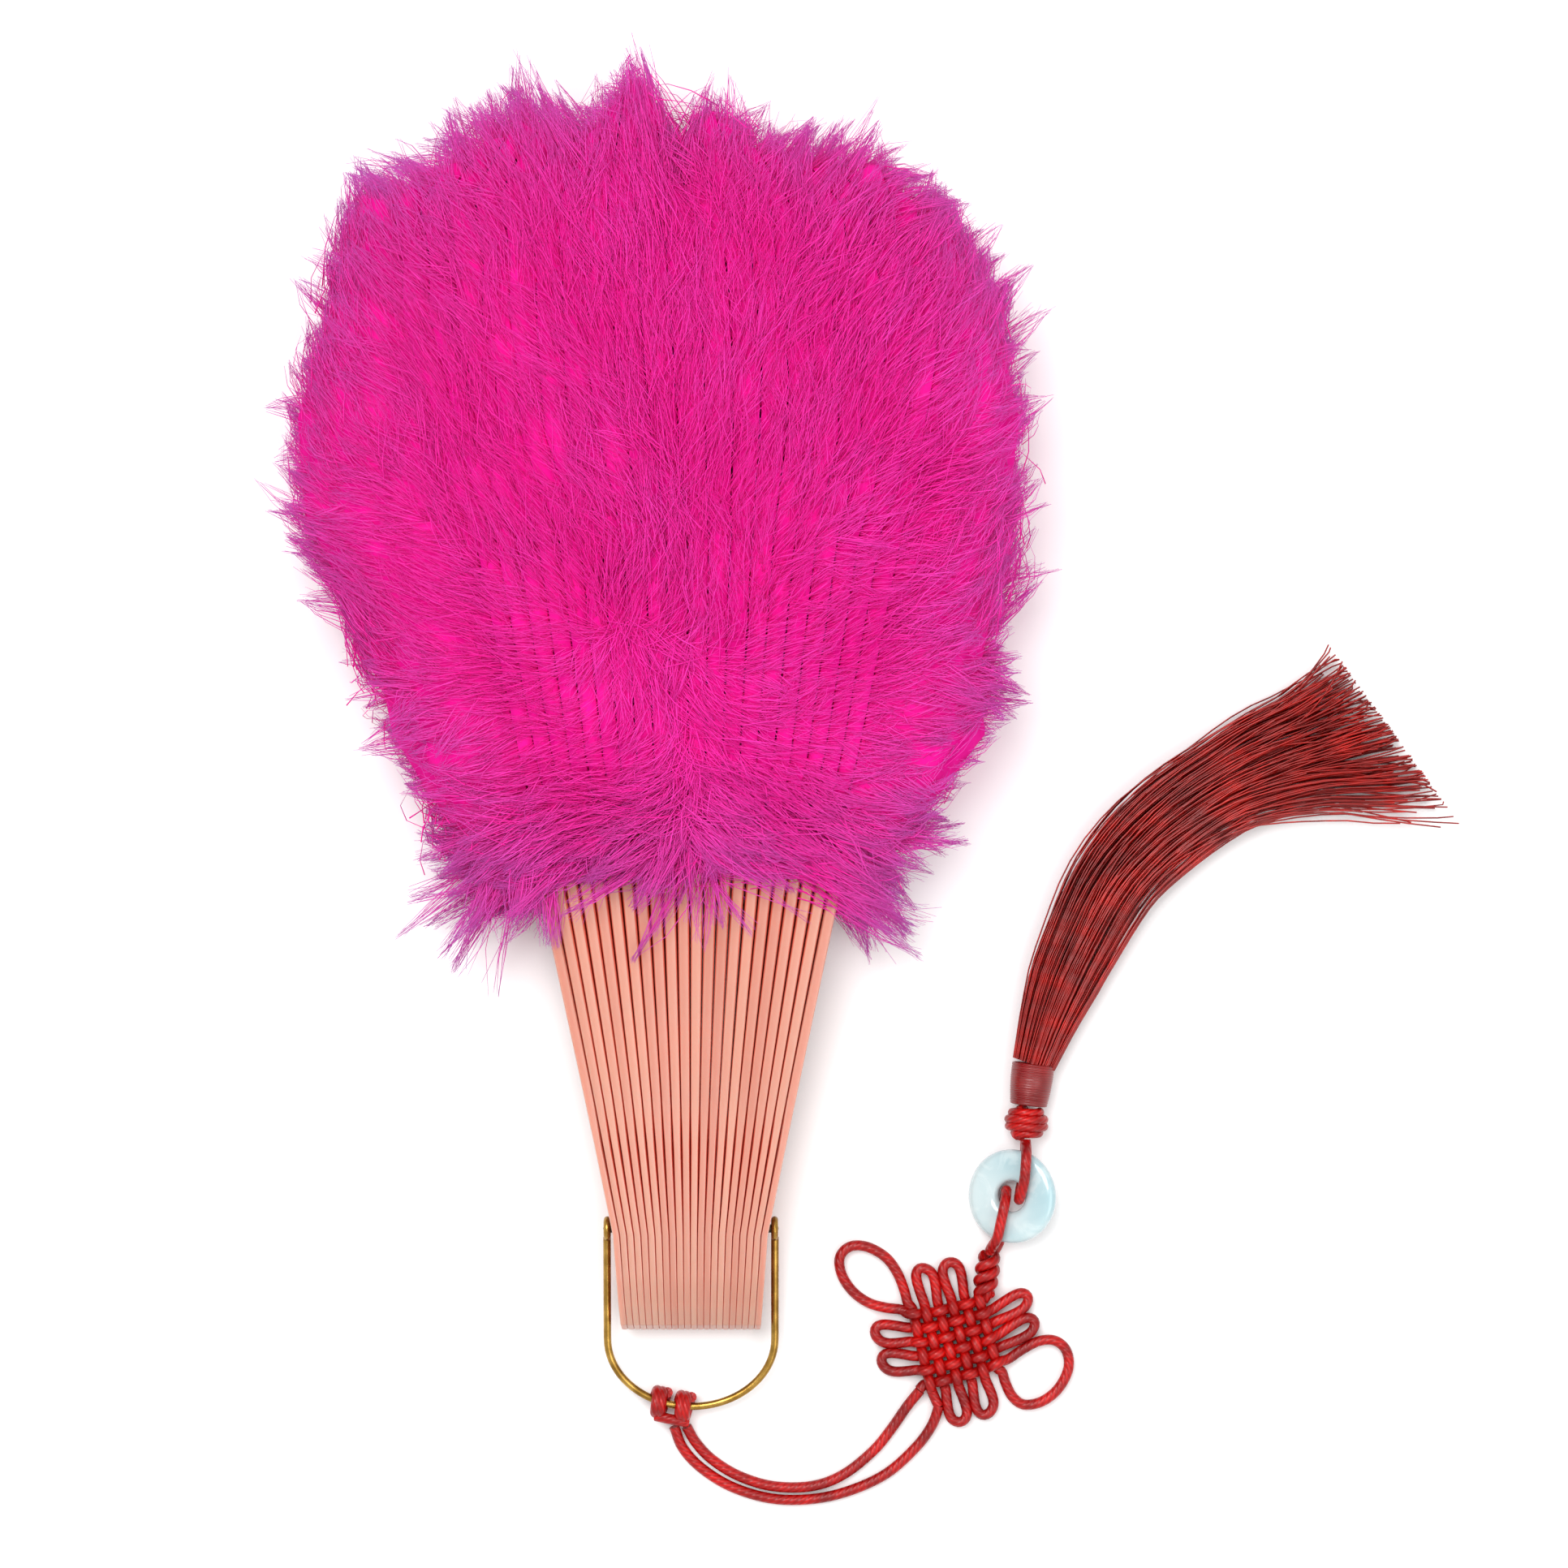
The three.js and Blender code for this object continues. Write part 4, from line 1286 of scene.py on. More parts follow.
    def build(self) -> None:
        """Makes every piece of the pendant cord."""
        cords = self.build_strands()
        knot = self.build_knot()
        self.build_hitch()
        self.build_binding()
        lay_loop("ring_loop", Body.PENDANT, self.ring_loop, self.radius)
        self.declare_strands(cords)


@dataclass
class WireBail:
    """The brass wire bail and the rivet that it swings on.

    Lengths written with MM are in metres, and the others in millimetres.

    Attributes:
        leg: Where the legs end and the bow starts.
        eye_inset: How far the eyes stand inside the legs.
        eye_wire: Thickness of the wire in the eyes, as a share.
    """

    wire: float = 0.8 * MM
    sides: int = 12
    step: float = 1.2 * MM
    half_width: float = 17.5
    leg: float = 23.6
    bow: float = 14.5
    bow_points: int = 25
    leg_points: int = 6
    droop: float = 0.15151
    eye_radius: float = 1.85
    eye_inset: float = 0.05
    eye_points: int = 28
    eye_wire: float = 0.92

    def around(self, x: float, y: float, z: float = 0.0) -> np.ndarray:
        """Turns a place on the level bail into the frame, drooped to the table."""
        cos, sin = math.cos(self.droop), math.sin(self.droop)
        return RIVET + np.array((x, y * cos - z * sin, y * sin + z * cos)) * MM

    def build(self) -> None:
        """Makes the bail and the rivet."""
        bow = [(self.half_width * math.cos(a), -self.leg + self.bow * math.sin(a))
               for a in np.linspace(math.pi, 2 * math.pi, self.bow_points)]
        legs = np.linspace(-self.eye_radius, -self.leg, self.leg_points, endpoint=False)
        route = [(-self.half_width, y) for y in legs] + bow + [(self.half_width, y) for y in reversed(legs)]
        points = smooth_path(np.array([self.around(*p) for p in route]), self.step)
        runs = [Run(points)]
        turns = np.linspace(0, 2 * math.pi, self.eye_points + 1)[:-1]
        for side in (-1, 1):
            ring = [self.around(side * (self.half_width - self.eye_inset), self.eye_radius * math.sin(a),
                                self.eye_radius * math.cos(a)) for a in turns]
            runs.append(Run(np.array(ring), closed=True, girth=np.full(self.eye_points, self.eye_wire)))
        bail = CordLayer.lay("brass_bail", runs, self.wire, self.sides, Finishes.brass)
        place_piece(bail, Body.BAIL.value, ["bail"])
        rivet = cad_copy("rivet", "long_rivet", smooth=40.0)
        rivet.data.materials.append(Finishes.get(Finishes.steel))
        place_piece(rivet, Body.ROOT.value, ["rivet"])


def spun_mesh(name: str, profile: Sequence[Pair], origin: np.ndarray, axis: np.ndarray,
              steps: int, hollow: bool = False) -> Object:
    """Turns a profile round an axis.

    Args:
        name: Name of the new piece.
        profile: Places along the axis and from it, in metres.
        origin: Point on the axis.
        axis: Unit direction of the axis.
        steps: Steps of the turn.
        hollow: True where the profile is closed on itself, as in a ring.

    Returns:
        The new object, with its run and lay written for thread finishes.
    """
    other = np.array((0.0, 1.0, 0.0)) if abs(axis[2]) > 0.5 else np.array((0.0, 0.0, 1.0))
    side = np.cross(other, axis)
    side /= np.linalg.norm(side)
    rise = np.cross(axis, side)
    count = len(profile)
    points, lays, runs = [], [], []
    for step in range(steps):
        angle = 2 * math.pi * step / steps
        for place, radius in profile:
            points.append(origin + axis * place + radius * (math.cos(angle) * side + math.sin(angle) * rise))
            lays.append((math.cos(angle), math.sin(angle), 0.0))
            runs.append(place)
    faces = []
    for step in range(steps):
        here, there = step * count, (step + 1) % steps * count
        for k in range(count if hollow else count - 1):
            after = (k + 1) % count
            faces.append((here + k, there + k, there + after, here + after))
    if not hollow:
        faces.append([step * count for step in reversed(range(steps))])
        faces.append([step * count + count - 1 for step in range(steps)])
    mesh = bpy.data.meshes.new(name)
    mesh.from_pydata([tuple(p) for p in points], [], faces)
    fill_attribute(mesh, "run", np.array(runs))
    fill_vectors(mesh, "lay", np.array(lays))
    with edited(mesh) as shape:
        bmesh.ops.recalc_face_normals(shape, faces=shape.faces)
    mesh.shade_smooth()
    mesh.set_sharp_from_angle(angle=math.radians(50))
    return add_object(name, mesh)


@dataclass
class StoneRing:
    """The flat pale ring between the knot and the tassel.

    Attributes:
        face_power: How flat its faces are, as with its rim. 1 gives an ellipse, less is flatter.
    """

    centre: Place = (74.2 * MM, -97.16 * MM, 5.744 * MM)
    axis: Place = (-0.43837, 0.0, 0.89879)
    outer: float = 9.8 * MM
    hole: float = 3.2 * MM
    thickness: float = 3.0 * MM
    section_steps: int = 32
    turn_steps: int = 96
    face_power: float = 0.75
    rim_power: float = 0.62

    def build(self) -> None:
        """Turns the ring with a softly rounded section."""
        middle, half = (self.outer + self.hole) / 2, (self.outer - self.hole) / 2
        profile = []
        for angle in np.linspace(0, 2 * math.pi, self.section_steps + 1)[:-1]:
            cos, sin = math.cos(angle), math.sin(angle)
            along = math.copysign(abs(sin) ** self.face_power, sin) * self.thickness / 2
            profile.append((along, middle + half * math.copysign(abs(cos) ** self.rim_power, cos)))
        ring = spun_mesh("pale_ring", profile, np.array(self.centre), np.array(self.axis), self.turn_steps,
                         hollow=True)
        ring.data.materials.append(Finishes.get(Finishes.stone))
        place_piece(ring, Body.RING.value, ["jade_ring"])


@dataclass
class Tassel:
    """Loop, rope-wound bead, bound sleeve and loose strands.

    Lengths written with MM are in metres, and the others in millimetres.

    Attributes:
        bead_shares: Radii along the wound rope, as shares of the widest.
        core_share: Radius of the winding inside the bead, as a share of the widest.
        sleeve_rise: How fast the sleeve widens along its length.
        sleeve_ridge: Height of the thread's ridges, as a share of the radius.
        sleeve_tuck: How far both ends are drawn in.
        sides: Places of the bundle's middle line to the side, as shares of its length.
        widths: Width of the bundle along its middle line, as shares of the width at the tips.
        fan_angles: Degrees by which the bundle is turned along its middle line.
        strand_reach: Span of the length of most strands, as a share.
        long_share: Share of strands that aren't short.
        sway_spread: How far strands wander.
        sway_waves: Waves of their way to the side and in height.
        sway_phase: How differently the waves start.
        widest: Farthest place to the side, as a share of half the width.
        highest: Farthest place in height, as a share of half the depth.
        lift_share: How much of the depth the strands' roots fill.
    """

    radius: float = CORD_RADIUS
    loop: tuple = (
        (69.9, 17.6, 7.6), (69.9, 16.9, 8.8), (69.9, 16.0, 10.0), (69.8, 14.4, 10.9), (69.5, 10.5, 10.8),
        (68.9, 7.6, 9.6), (68.5, 5.8, 6.4), (68.9, 7.6, 3.0), (69.5, 10.5, 2.7), (69.9, 14.6, 2.7),
        (70.0, 18.2, 2.7))
    neck: Pair = (69.7, 18.7)
    neck_turn: float = math.radians(7)
    neck_lift: float = 0.1
    bead_radius: float = 4.7
    bead_length: float = 6.5
    bead_shares: tuple = (0.62, 0.9, 1, 1, 0.9, 0.66)
    bead_turns: float = 3.4
    bead_margin: float = 0.8
    rope: float = 0.95
    core_share: float = 0.35
    core_turns: float = 1.2
    core_girth: float = 1.9
    core_margin: float = 0.9
    sleeve_radius: float = 4.45
    sleeve_length: float = 8.8
    sleeve_gap: float = 0.3
    sleeve_steps: int = 70
    sleeve_top: float = 0.86
    sleeve_swell: float = 0.14
    sleeve_rise: float = 1.25
    sleeve_ridge: float = 0.012
    sleeve_ridges: float = 120
    sleeve_tuck: float = 0.09
    length: float = 108.0
    tip_width: float = 43.0
    depth: float = 10.5
    sides: tuple = (0, 0.036, 0.085, 0.17, 0.302, 0.462, 0.698)
    forwards: tuple = (0, 0.106, 0.222, 0.375, 0.496, 0.579, 0.64)
    widths: tuple = (0.21, 0.35, 0.42, 0.47, 0.49, 0.64, 1)
    depths: tuple = (0.84, 0.95, 1, 1, 1, 0.95, 0.7)
    fan_angles: tuple = (0, 0, 0, 0, 4, 12, 22)
    strand_gap: float = 0.2
    strands: int = 330
    strand_radius: float = 0.21 * MM
    strand_points: int = 24
    strand_reach: Pair = (0.92, 1.045)
    short_reach: Pair = (0.78, 0.92)
    long_share: float = 0.85
    sway_spread: float = 0.09
    sway_waves: Pair = (5, 7)
    sway_phase: float = 30
    widest: float = 1.12
    highest: float = 0.97
    lift_share: float = 0.93
    clearance: float = 0.1 * MM

    @property
    def ahead(self) -> np.ndarray:
        """Direction from the neck to the strands."""
        return np.array((math.sin(self.neck_turn), math.cos(self.neck_turn), 0.0))

    def along_neck(self, distance: float, height: float) -> np.ndarray:
        """Place on the neck's middle line in metres, a distance in millimetres from its start."""
        return table_point(self.neck[0], self.neck[1], height) + self.ahead * distance * MM

    def build_bead(self, origin: np.ndarray) -> None:
        """Winds the bead with rope round a thicker winding inside it.

        Args:
            origin: Start of the neck.
        """
        widest = (self.bead_radius - self.rope) * MM
        radii = [share * widest for share in self.bead_shares]
        spans = (self.bead_margin * MM, (self.bead_length - self.bead_margin) * MM)
        coil = helix(origin, self.ahead, radii, spans, self.bead_turns, start=0.8, steps=36)
        spans = (self.core_margin * MM, (self.bead_length - self.core_margin) * MM)
        core = helix(origin, self.ahead, [self.core_share * widest], spans, self.core_turns)
        runs = [Run(coil), Run(core, girth=np.full(len(core), self.core_girth))]
        bead = CordLayer.lay("rope_bead", runs, self.rope * MM, 12, Finishes.cord)
        place_piece(bead, Body.TASSEL.value, ["neck_bead"])

    def build_sleeve(self, origin: np.ndarray) -> None:
        """Binds the sleeve, which widens from the bead to the strands.

        Args:
            origin: Start of the neck.
        """
        start = self.bead_length + self.sleeve_gap
        profile = []
        for share in np.linspace(0, 1, self.sleeve_steps):
            swell = math.sin(math.pi * min(share * self.sleeve_rise, 1.0) / 2)
            wide = (self.sleeve_top + self.sleeve_swell * swell
                    + self.sleeve_ridge * math.cos(share * self.sleeve_ridges))
            if share in (0.0, 1.0):
                wide -= self.sleeve_tuck
            profile.append(((start + share * self.sleeve_length) * MM, self.sleeve_radius * wide * MM))
        sleeve = spun_mesh("bound_sleeve", profile, origin, self.ahead, 40)
        sleeve.data.materials.append(Finishes.get(Finishes.sleeve))
        place_piece(sleeve, Body.TASSEL.value, ["neck_sleeve"])

    def strand_runs(self) -> list[Run]:
        """Lays out the loose strands.

        Returns:
            One run for each strand.
        """
        draw = np.random.default_rng(SEED)
        root = self.along_neck(self.bead_length + self.sleeve_length + self.strand_gap, 0.0)
        middles = np.array([root + np.array((s, f, 0.0)) * self.length * MM
                            for s, f in zip(self.sides, self.forwards)])
        spine = smooth_path(middles, 1.0 * MM)
        runs = []
        share = np.linspace(0, 1, len(middles))
        spine_share = np.linspace(0, 1, len(spine))
        for _ in range(self.strands):
            angle = draw.uniform(0, 2 * math.pi)
            far = math.sqrt(draw.uniform(0, 1))
            across, high = far * math.cos(angle), far * math.sin(angle)
            span = self.strand_reach if draw.uniform() < self.long_share else self.short_reach
            marks = np.linspace(0, draw.uniform(*span), self.strand_points)
            sway = draw.normal(0, self.sway_spread, 3)
            places = np.stack([np.interp(marks, spine_share, spine[:, k]) for k in range(3)], 1)
            ahead = np.gradient(places, axis=0)
            ahead /= np.linalg.norm(ahead, axis=1)[:, None]
            heading = np.radians(np.interp(marks, share, self.fan_angles))
            turned = np.stack([ahead[:, 0] * np.cos(heading) - ahead[:, 1] * np.sin(heading),
                               ahead[:, 0] * np.sin(heading) + ahead[:, 1] * np.cos(heading)], 1)
            width = self.tip_width / 2 * np.interp(marks, share, self.widths) * MM
            deep = self.depth / 2 * np.interp(marks, share, self.depths) * MM
            wave = np.sin(self.sway_waves[0] * marks + sway[1] * self.sway_phase)
            wander = np.clip(across + sway[0] * wave * marks * 2, -self.widest, self.widest)
            rising = high * self.lift_share + sway[2] * np.sin(self.sway_waves[1] * marks) * marks
            lift = np.clip(rising, -self.highest, self.highest)
            places[:, 0] += turned[:, 1] * wander * width
            places[:, 1] -= turned[:, 0] * wander * width
            places[:, 2] = deep * (1 + lift) + self.clearance + self.strand_radius
            runs.append(Run(places))
        return runs

    def build(self) -> None:
        """Makes every piece of the tassel."""
        lay_loop("tassel_loop", Body.TASSEL, self.loop, self.radius)
        origin = self.along_neck(0.0, self.bead_radius + self.neck_lift)
        self.build_bead(origin)
        self.build_sleeve(origin)
        skirt = CordLayer.lay("loose_strands", self.strand_runs(), self.strand_radius, 3, Finishes.thread)
        place_piece(skirt, Body.TASSEL.value, ["tassel_skirt"])


def stave_names() -> list[tuple[str, str]]:
    """Node and body of each stave from left to right."""
    inner = [(f"rib_{number:02d}", f"rib_{number:02d}") for number in range(2, 22)]
    return [("left_guard", Body.ROOT.value), *inner, ("right_guard", Body.RIGHT_GUARD.value)]


def slat_line(node: str) -> np.ndarray:
    """Finds the middle line of a slat over Y.

    Args:
        node: The slat's CAD node.

    Returns:
        Its start and slope sideways, then its start and slope in height.
    """
    points = cad_points(node).reshape(-1, 3)
    far = points[points[:, 1] > SLAT_FAR].mean(axis=0)
    near = points[points[:, 1] < SLAT_NEAR].mean(axis=0)
    slope = (far[0] - near[0]) / (far[1] - near[1])
    rise = (far[2] - near[2]) / (far[1] - near[1])
    return np.array((near[0] - slope * near[1], slope, near[2] - rise * near[1], rise))


@dataclass
class SlatPack:
    """The lacquered slats on the rivet.

    Away from the rivet, where they stand apart, each is thick enough to meet its neighbours under a groove
    between their upper edges.

    Attributes:
        rounding: Width of a slat's rounded edges, held to what its thickness allows.
        girth_share: Thickness at the rivet, as a share of the solid's.
        girth_start: Where the slats begin to stand apart.
        girth_slope: Share of thickness that is won per metre from there.
        girth_most: Share of thickness at the feathers.
        edge_share: Thickness of the upper edge, as a share of the thickness under the groove.
        groove: Depth of the groove.
        tilt: What a slat leans at random.
        tilt_reach: Length over which the lean grows.
        cuts: Where a slat is divided along its length, in millimetres.
        edge_highlight_span: Start and slope of the edges' painted highlight over a face's main direction.
        gap_shade_span: Slope and start of the flat sides' painted shade over how far they face sideways.
    """

    rounding: float = 1.0 * MM
    girth_share: float = 1.2
    girth_start: float = -106 * MM
    girth_slope: float = 13.5
    girth_most: float = 2.26
    edge_share: float = 0.74
    groove: float = 1.1 * MM
    tilt: float = 0.08 * MM
    tilt_reach: float = 70 * MM
    cuts: tuple = (-106, -84, -70, -57, -44, -30, -5, 20)
    edge_highlight_span: Pair = (1.6, 1.7)
    gap_shade_span: Pair = (2.5, 1.5)

    def divide(self, mesh: Mesh, places: list[tuple]) -> None:
        """Divides a slat by planes.

        Args:
            mesh: The slat.
            places: A point and a normal for each plane.
        """
        with edited(mesh) as shape:
            for point, normal in places:
                bmesh.ops.bisect_plane(shape, geom=[*shape.verts, *shape.edges, *shape.faces],
                                       plane_co=point, plane_no=normal)

    def thicken(self, mesh: Mesh, node: str, extra: float) -> None:
        """Thickens a slat under its upper edge, where the slats stand apart.

        Args:
            mesh: The slat.
            node: Its CAD node.
            extra: What this slat leans to the side, in metres.
        """
        line = slat_line(node)
        self.divide(mesh, [((0, cut * MM, 0), (0, 1, 0)) for cut in self.cuts])
        points = mesh_points(mesh)
        tops = [points[np.abs(points[:, 1] - cut * MM) < 0.1 * MM, 2].max() for cut in self.cuts]
        slope, start = np.polyfit(np.array(self.cuts) * MM, tops, 1)
        self.divide(mesh, [((0, 0, start - self.groove), (0, -slope, 1))])
        points = mesh_points(mesh)
        axis = line[0] + line[1] * points[:, 1]
        height = points[:, 2] - line[2] - line[3] * points[:, 1]
        level = np.clip(height / np.abs(height).max(), -1, 1)
        out = points[:, 1] - self.girth_start
        under = np.clip(self.girth_share + self.girth_slope * out, self.girth_share, self.girth_most)
        edge = np.maximum(self.girth_share, self.edge_share * under)
        depth = np.clip((start + slope * points[:, 1] - points[:, 2]) / self.groove, 0, 1)
        girth = edge + (under - edge) * depth
        lean = extra * np.clip(out / self.tilt_reach, 0, 1) * level
        points[:, 0] = axis + (points[:, 0] - axis) * girth + lean
        mesh.vertices.foreach_set("co", points.ravel())
        mesh.update()

    def build(self) -> None:
        """Softens and dresses every slat."""
        draw = np.random.default_rng(SEED + 1)
        material = Finishes.get(Finishes.slat)
        for node, body in stave_names():
            piece = cad_copy(node, node + "_lacquered", bevel=self.rounding)
            mesh = piece.data
            self.thicken(mesh, node, draw.uniform(-self.tilt, self.tilt))
            count = len(mesh.vertices)
            fill_attribute(mesh, "tone", np.full(count, draw.uniform(0, 1)))
            normals = np.empty(count * 3, dtype=np.float32)
            mesh.vertices.foreach_get("normal", normals)
            normals = np.abs(normals.reshape(-1, 3))
            # Painted highlight: a paler tone on the rounded edges, where the faces turn between directions.
            start, slope = self.edge_highlight_span
            fill_attribute(mesh, "edge", np.clip(start - slope * normals.max(axis=1), 0, 1))
            # Painted shade: the inner slats' flat sides take a deep tone, for the shade between the slats.
            slope, start = self.gap_shade_span
            inner = node.startswith("rib")
            fill_attribute(mesh, "flat", np.clip(slope * normals[:, 0] - start, 0, 1) * inner)
            mesh.materials.append(material)
            place_piece(piece, body, [node])


@dataclass
class FeatherTufts:
    """A tuft of dyed feathers on each slat: a soft body under a coat of fine barbs.

    Attributes:
        body_share: Width of the soft body, as a share of the tuft's.
        ragged: Span by which its lower edge is drawn in, from tuft to tuft.
        cut_places: Places along the fan, in millimetres, of the next two lists.
        left_cuts: How far the left flank is drawn in there, as a share, as with the right one.
        depth_share: Height of the coat over its middle, as a share.
        reach_share: Reach of the coat past the slats, as a share.
        slat_spread: Half the width of the slats at the head and at their ends.
        crest_places: Places across the fan, in millimetres, of the next list.
        crest_shares: How far the upper edge reaches there, as a share.
        hem_start: Where the fringe over the slats begins.
        hem_half: Half the width of that fringe.
        hem_lift: How far it is drawn up, as a share.
        full_shrink: Where the soft body has its own width.
        shrink_start: Where it begins to be narrower than the tuft.
        leaning: Slope from which a tuft is narrowed sideways too.
        clumps: Clumps in a coat between the guards. A guard's coat has twice as many.
        rim_depth: Width of the coat's rim.
        outward: How the barbs spread from the middle on the outside.
        vane: How they spread between two tufts.
        swells: Height in millimetres, waves round the coat and turn of its peaks.
        wisp_most: Longest wisp of the fringe, in millimetres.
        open_shares: Share of barbs on the outside, for a tuft between the guards and for a guard's.
        fringe_more: How many more barbs the fringe has, as a share.
        under_share: Share of barbs that the underside keeps.
        jut: How far a clump's tips stand out, on the whole.
        pulls: How strongly a clump draws its barbs together.
        clump_size: Distance at which that fades.
        root_depths: Where the barbs root under the surface, as shares of their length.
        tip_heights: Span of the lowest height of the tips.
        crown: Middle and half widths of the oval beyond which the tips take the painted lilac light.
    """

    inner_barbs: int = 2700
    guard_barbs: int = 8800
    guard_coats: int = 2
    body_share: float = 0.93
    body_reach: float = 0.96
    body_edge: float = 9 * MM
    ragged: Pair = (1 * MM, 11 * MM)
    ragged_depth: float = 22 * MM
    ragged_thin: float = 0.2
    body_height: float = 0.4 * MM
    cut_places: tuple = (-45, -32, -18, -6, 16, 46, 68, 95, 118, 150)
    left_cuts: tuple = (0.5, 0.28, 0.15, 0.12, 0.18, 0.1, 0.1, 0.15, 0.07, 0.08)
    right_cuts: tuple = (0.65, 0.45, 0.2, 0.05, 0.17, 0.12, 0.09, 0.17, 0.15, 0.2)
    flank: float = 28 * MM
    depth_share: float = 0.945
    reach_share: float = 0.92
    slat_spread: Pair = (16 * MM, 46 * MM)
    crest_start: float = 88 * MM
    crest_places: tuple = (-80, -64, -48, -37, -27, -15, -3, 5, 12, 20, 30, 42, 46, 49, 58, 70, 85)
    crest_shares: tuple = (1, 0.98, 0.88, 1, 1.07, 0.8, 1.1, 0.7, 0.96, 0.82, 0.87, 0.94, 1.14, 0.88, 0.88,
                           0.7, 0.6)
    head_end: float = -104 * MM
    slat_end: float = 46 * MM
    slat_fade: float = 40 * MM
    hem_start: float = -18 * MM
    hem_half: float = 31 * MM
    hem_fade: float = 6 * MM
    hem_lift: float = 0.42
    full_shrink: float = 20 * MM
    shrink_start: float = -36 * MM
    leaning: float = 0.2
    centre: Place = (7 * MM, 9 * MM, 24 * MM)
    lengths: Pair = (13 * MM, 27 * MM)
    barb_radius: float = 0.15 * MM
    barb_girths: Pair = (0.7, 1.35)
    clumps: int = 200
    rim_depth: float = 20 * MM
    sectors: int = 72
    outward: Place = (1.2, 1.0, 0.32)
    vane: Place = (0.1, 1.0, 1.5)
    vane_rise: float = 12 * MM
    sway_reach: float = 20 * MM
    sway_waves: tuple = ((61.0, 43.0, 20.0), (-37.0, 71.0, 35.0), (118.0, -67.0, 50.0), (83.0, 139.0, -60.0))
    clump_yaw: float = 0.24
    barb_yaw: float = 0.06
    swells: tuple = ((2.0, 7, 0.6), (1.6, 13, 2.1))
    wisp_start: float = -16 * MM
    wisp_fade: float = 16 * MM
    wisp_most: float = 19
    stray_share: float = 0.03
    open_shares: Pair = (0.66, 0.92)
    fringe_more: float = 0.8
    fringe_start: float = -12 * MM
    under_share: float = 0.35
    tip_reach: Pair = (0.05, 0.3)
    tip_sink: float = 1.2 * MM
    side_jitter: float = 2.2 * MM
    jut: float = 1.4 * MM
    jut_most: float = 4.5 * MM
    pulls: Pair = (0.1, 0.75)
    edge_pulls: Pair = (0.7, 0.98)
    clump_size: float = 8 * MM
    root_depths: Pair = (0.2, 0.45)
    root_sink: float = 1.5 * MM
    root_jitter: float = 1.5 * MM
    tip_heights: Pair = (1 * MM, 4 * MM)
    bows: Pair = (0.02, 0.1)
    bow_jitter: float = 0.035
    patch_waves: float = 2.6
    tone_spread: float = 0.22
    crown: tuple = ((7 * MM, 48 * MM), (84 * MM, 98 * MM))
    rim_spread: Pair = (0.75, 1.15)
    far: np.ndarray | None = field(default=None, repr=False)
    tree: NodeTree | None = field(default=None, repr=False)

    def settle(self, points: np.ndarray) -> np.ndarray:
        """Brings points of the tufts in to where the feathers are dense.

        Args:
            points: Points on the tufts.

        Returns:
            The points of the dense coat.
        """
        out = points.copy()
        side = points[:, 0] - self.centre[0]
        y = points[:, 1]
        pack = np.interp(y, (self.head_end, self.slat_end, self.slat_end + self.slat_fade),
                         (*self.slat_spread, 0))
        beside = np.clip((np.abs(side) - pack) / self.flank, 0, 1)
        places = np.array(self.cut_places) * MM
        cut = np.where(side < 0, np.interp(y, places, self.left_cuts), np.interp(y, places, self.right_cuts))
        out[:, 0] = self.centre[0] + side * (1 - cut * beside)
        high = np.maximum(points[:, 2] - self.centre[2], 0)
        out[:, 2] = points[:, 2] - high * (1 - self.depth_share)
        beyond = np.maximum(y - self.slat_end, 0)
        over_slats = np.clip((self.hem_half - np.abs(side)) / self.hem_fade, 0, 1)
        lift = self.hem_lift * np.maximum(self.hem_start - y, 0) * over_slats
        out[:, 1] = y - beyond * (1 - self.reach_share) + lift
        return out

    def shrink(self, points: np.ndarray, line: np.ndarray, share: float) -> np.ndarray:
        """Draws points towards the slat.

        Args:
            points: Points of the tuft.
            line: The slat's line.
            share: What is left of the distance, far from the root.

        Returns:
            The drawn points.
        """
        y = points[:, 1]
        ramp = np.clip((y - self.shrink_start) / (self.full_shrink - self.shrink_start), 0, 1)
        left = 1 - (1 - share) * ramp
        axis_x, axis_z = line[0] + line[1] * y, line[2] + line[3] * y
        out = points.copy()
        if abs(line[1]) > self.leaning:
            out[:, 0] = axis_x + (points[:, 0] - axis_x) * left
        out[:, 2] = axis_z + (points[:, 2] - axis_z) * left
        beyond = y > self.slat_end
        out[beyond, 1] = self.slat_end + (y[beyond] - self.slat_end) * self.body_reach
        return out

    def crest(self, points: np.ndarray) -> np.ndarray:
        """Draws the upper edge in between its peaks.

        Args:
            points: Points of the coat.

        Returns:
            Their new places along the fan.
        """
        share = np.interp(points[:, 0], np.array(self.crest_places) * MM, self.crest_shares)
        above = np.maximum(points[:, 1] - self.crest_start, 0)
        return points[:, 1] - above * (1 - share)

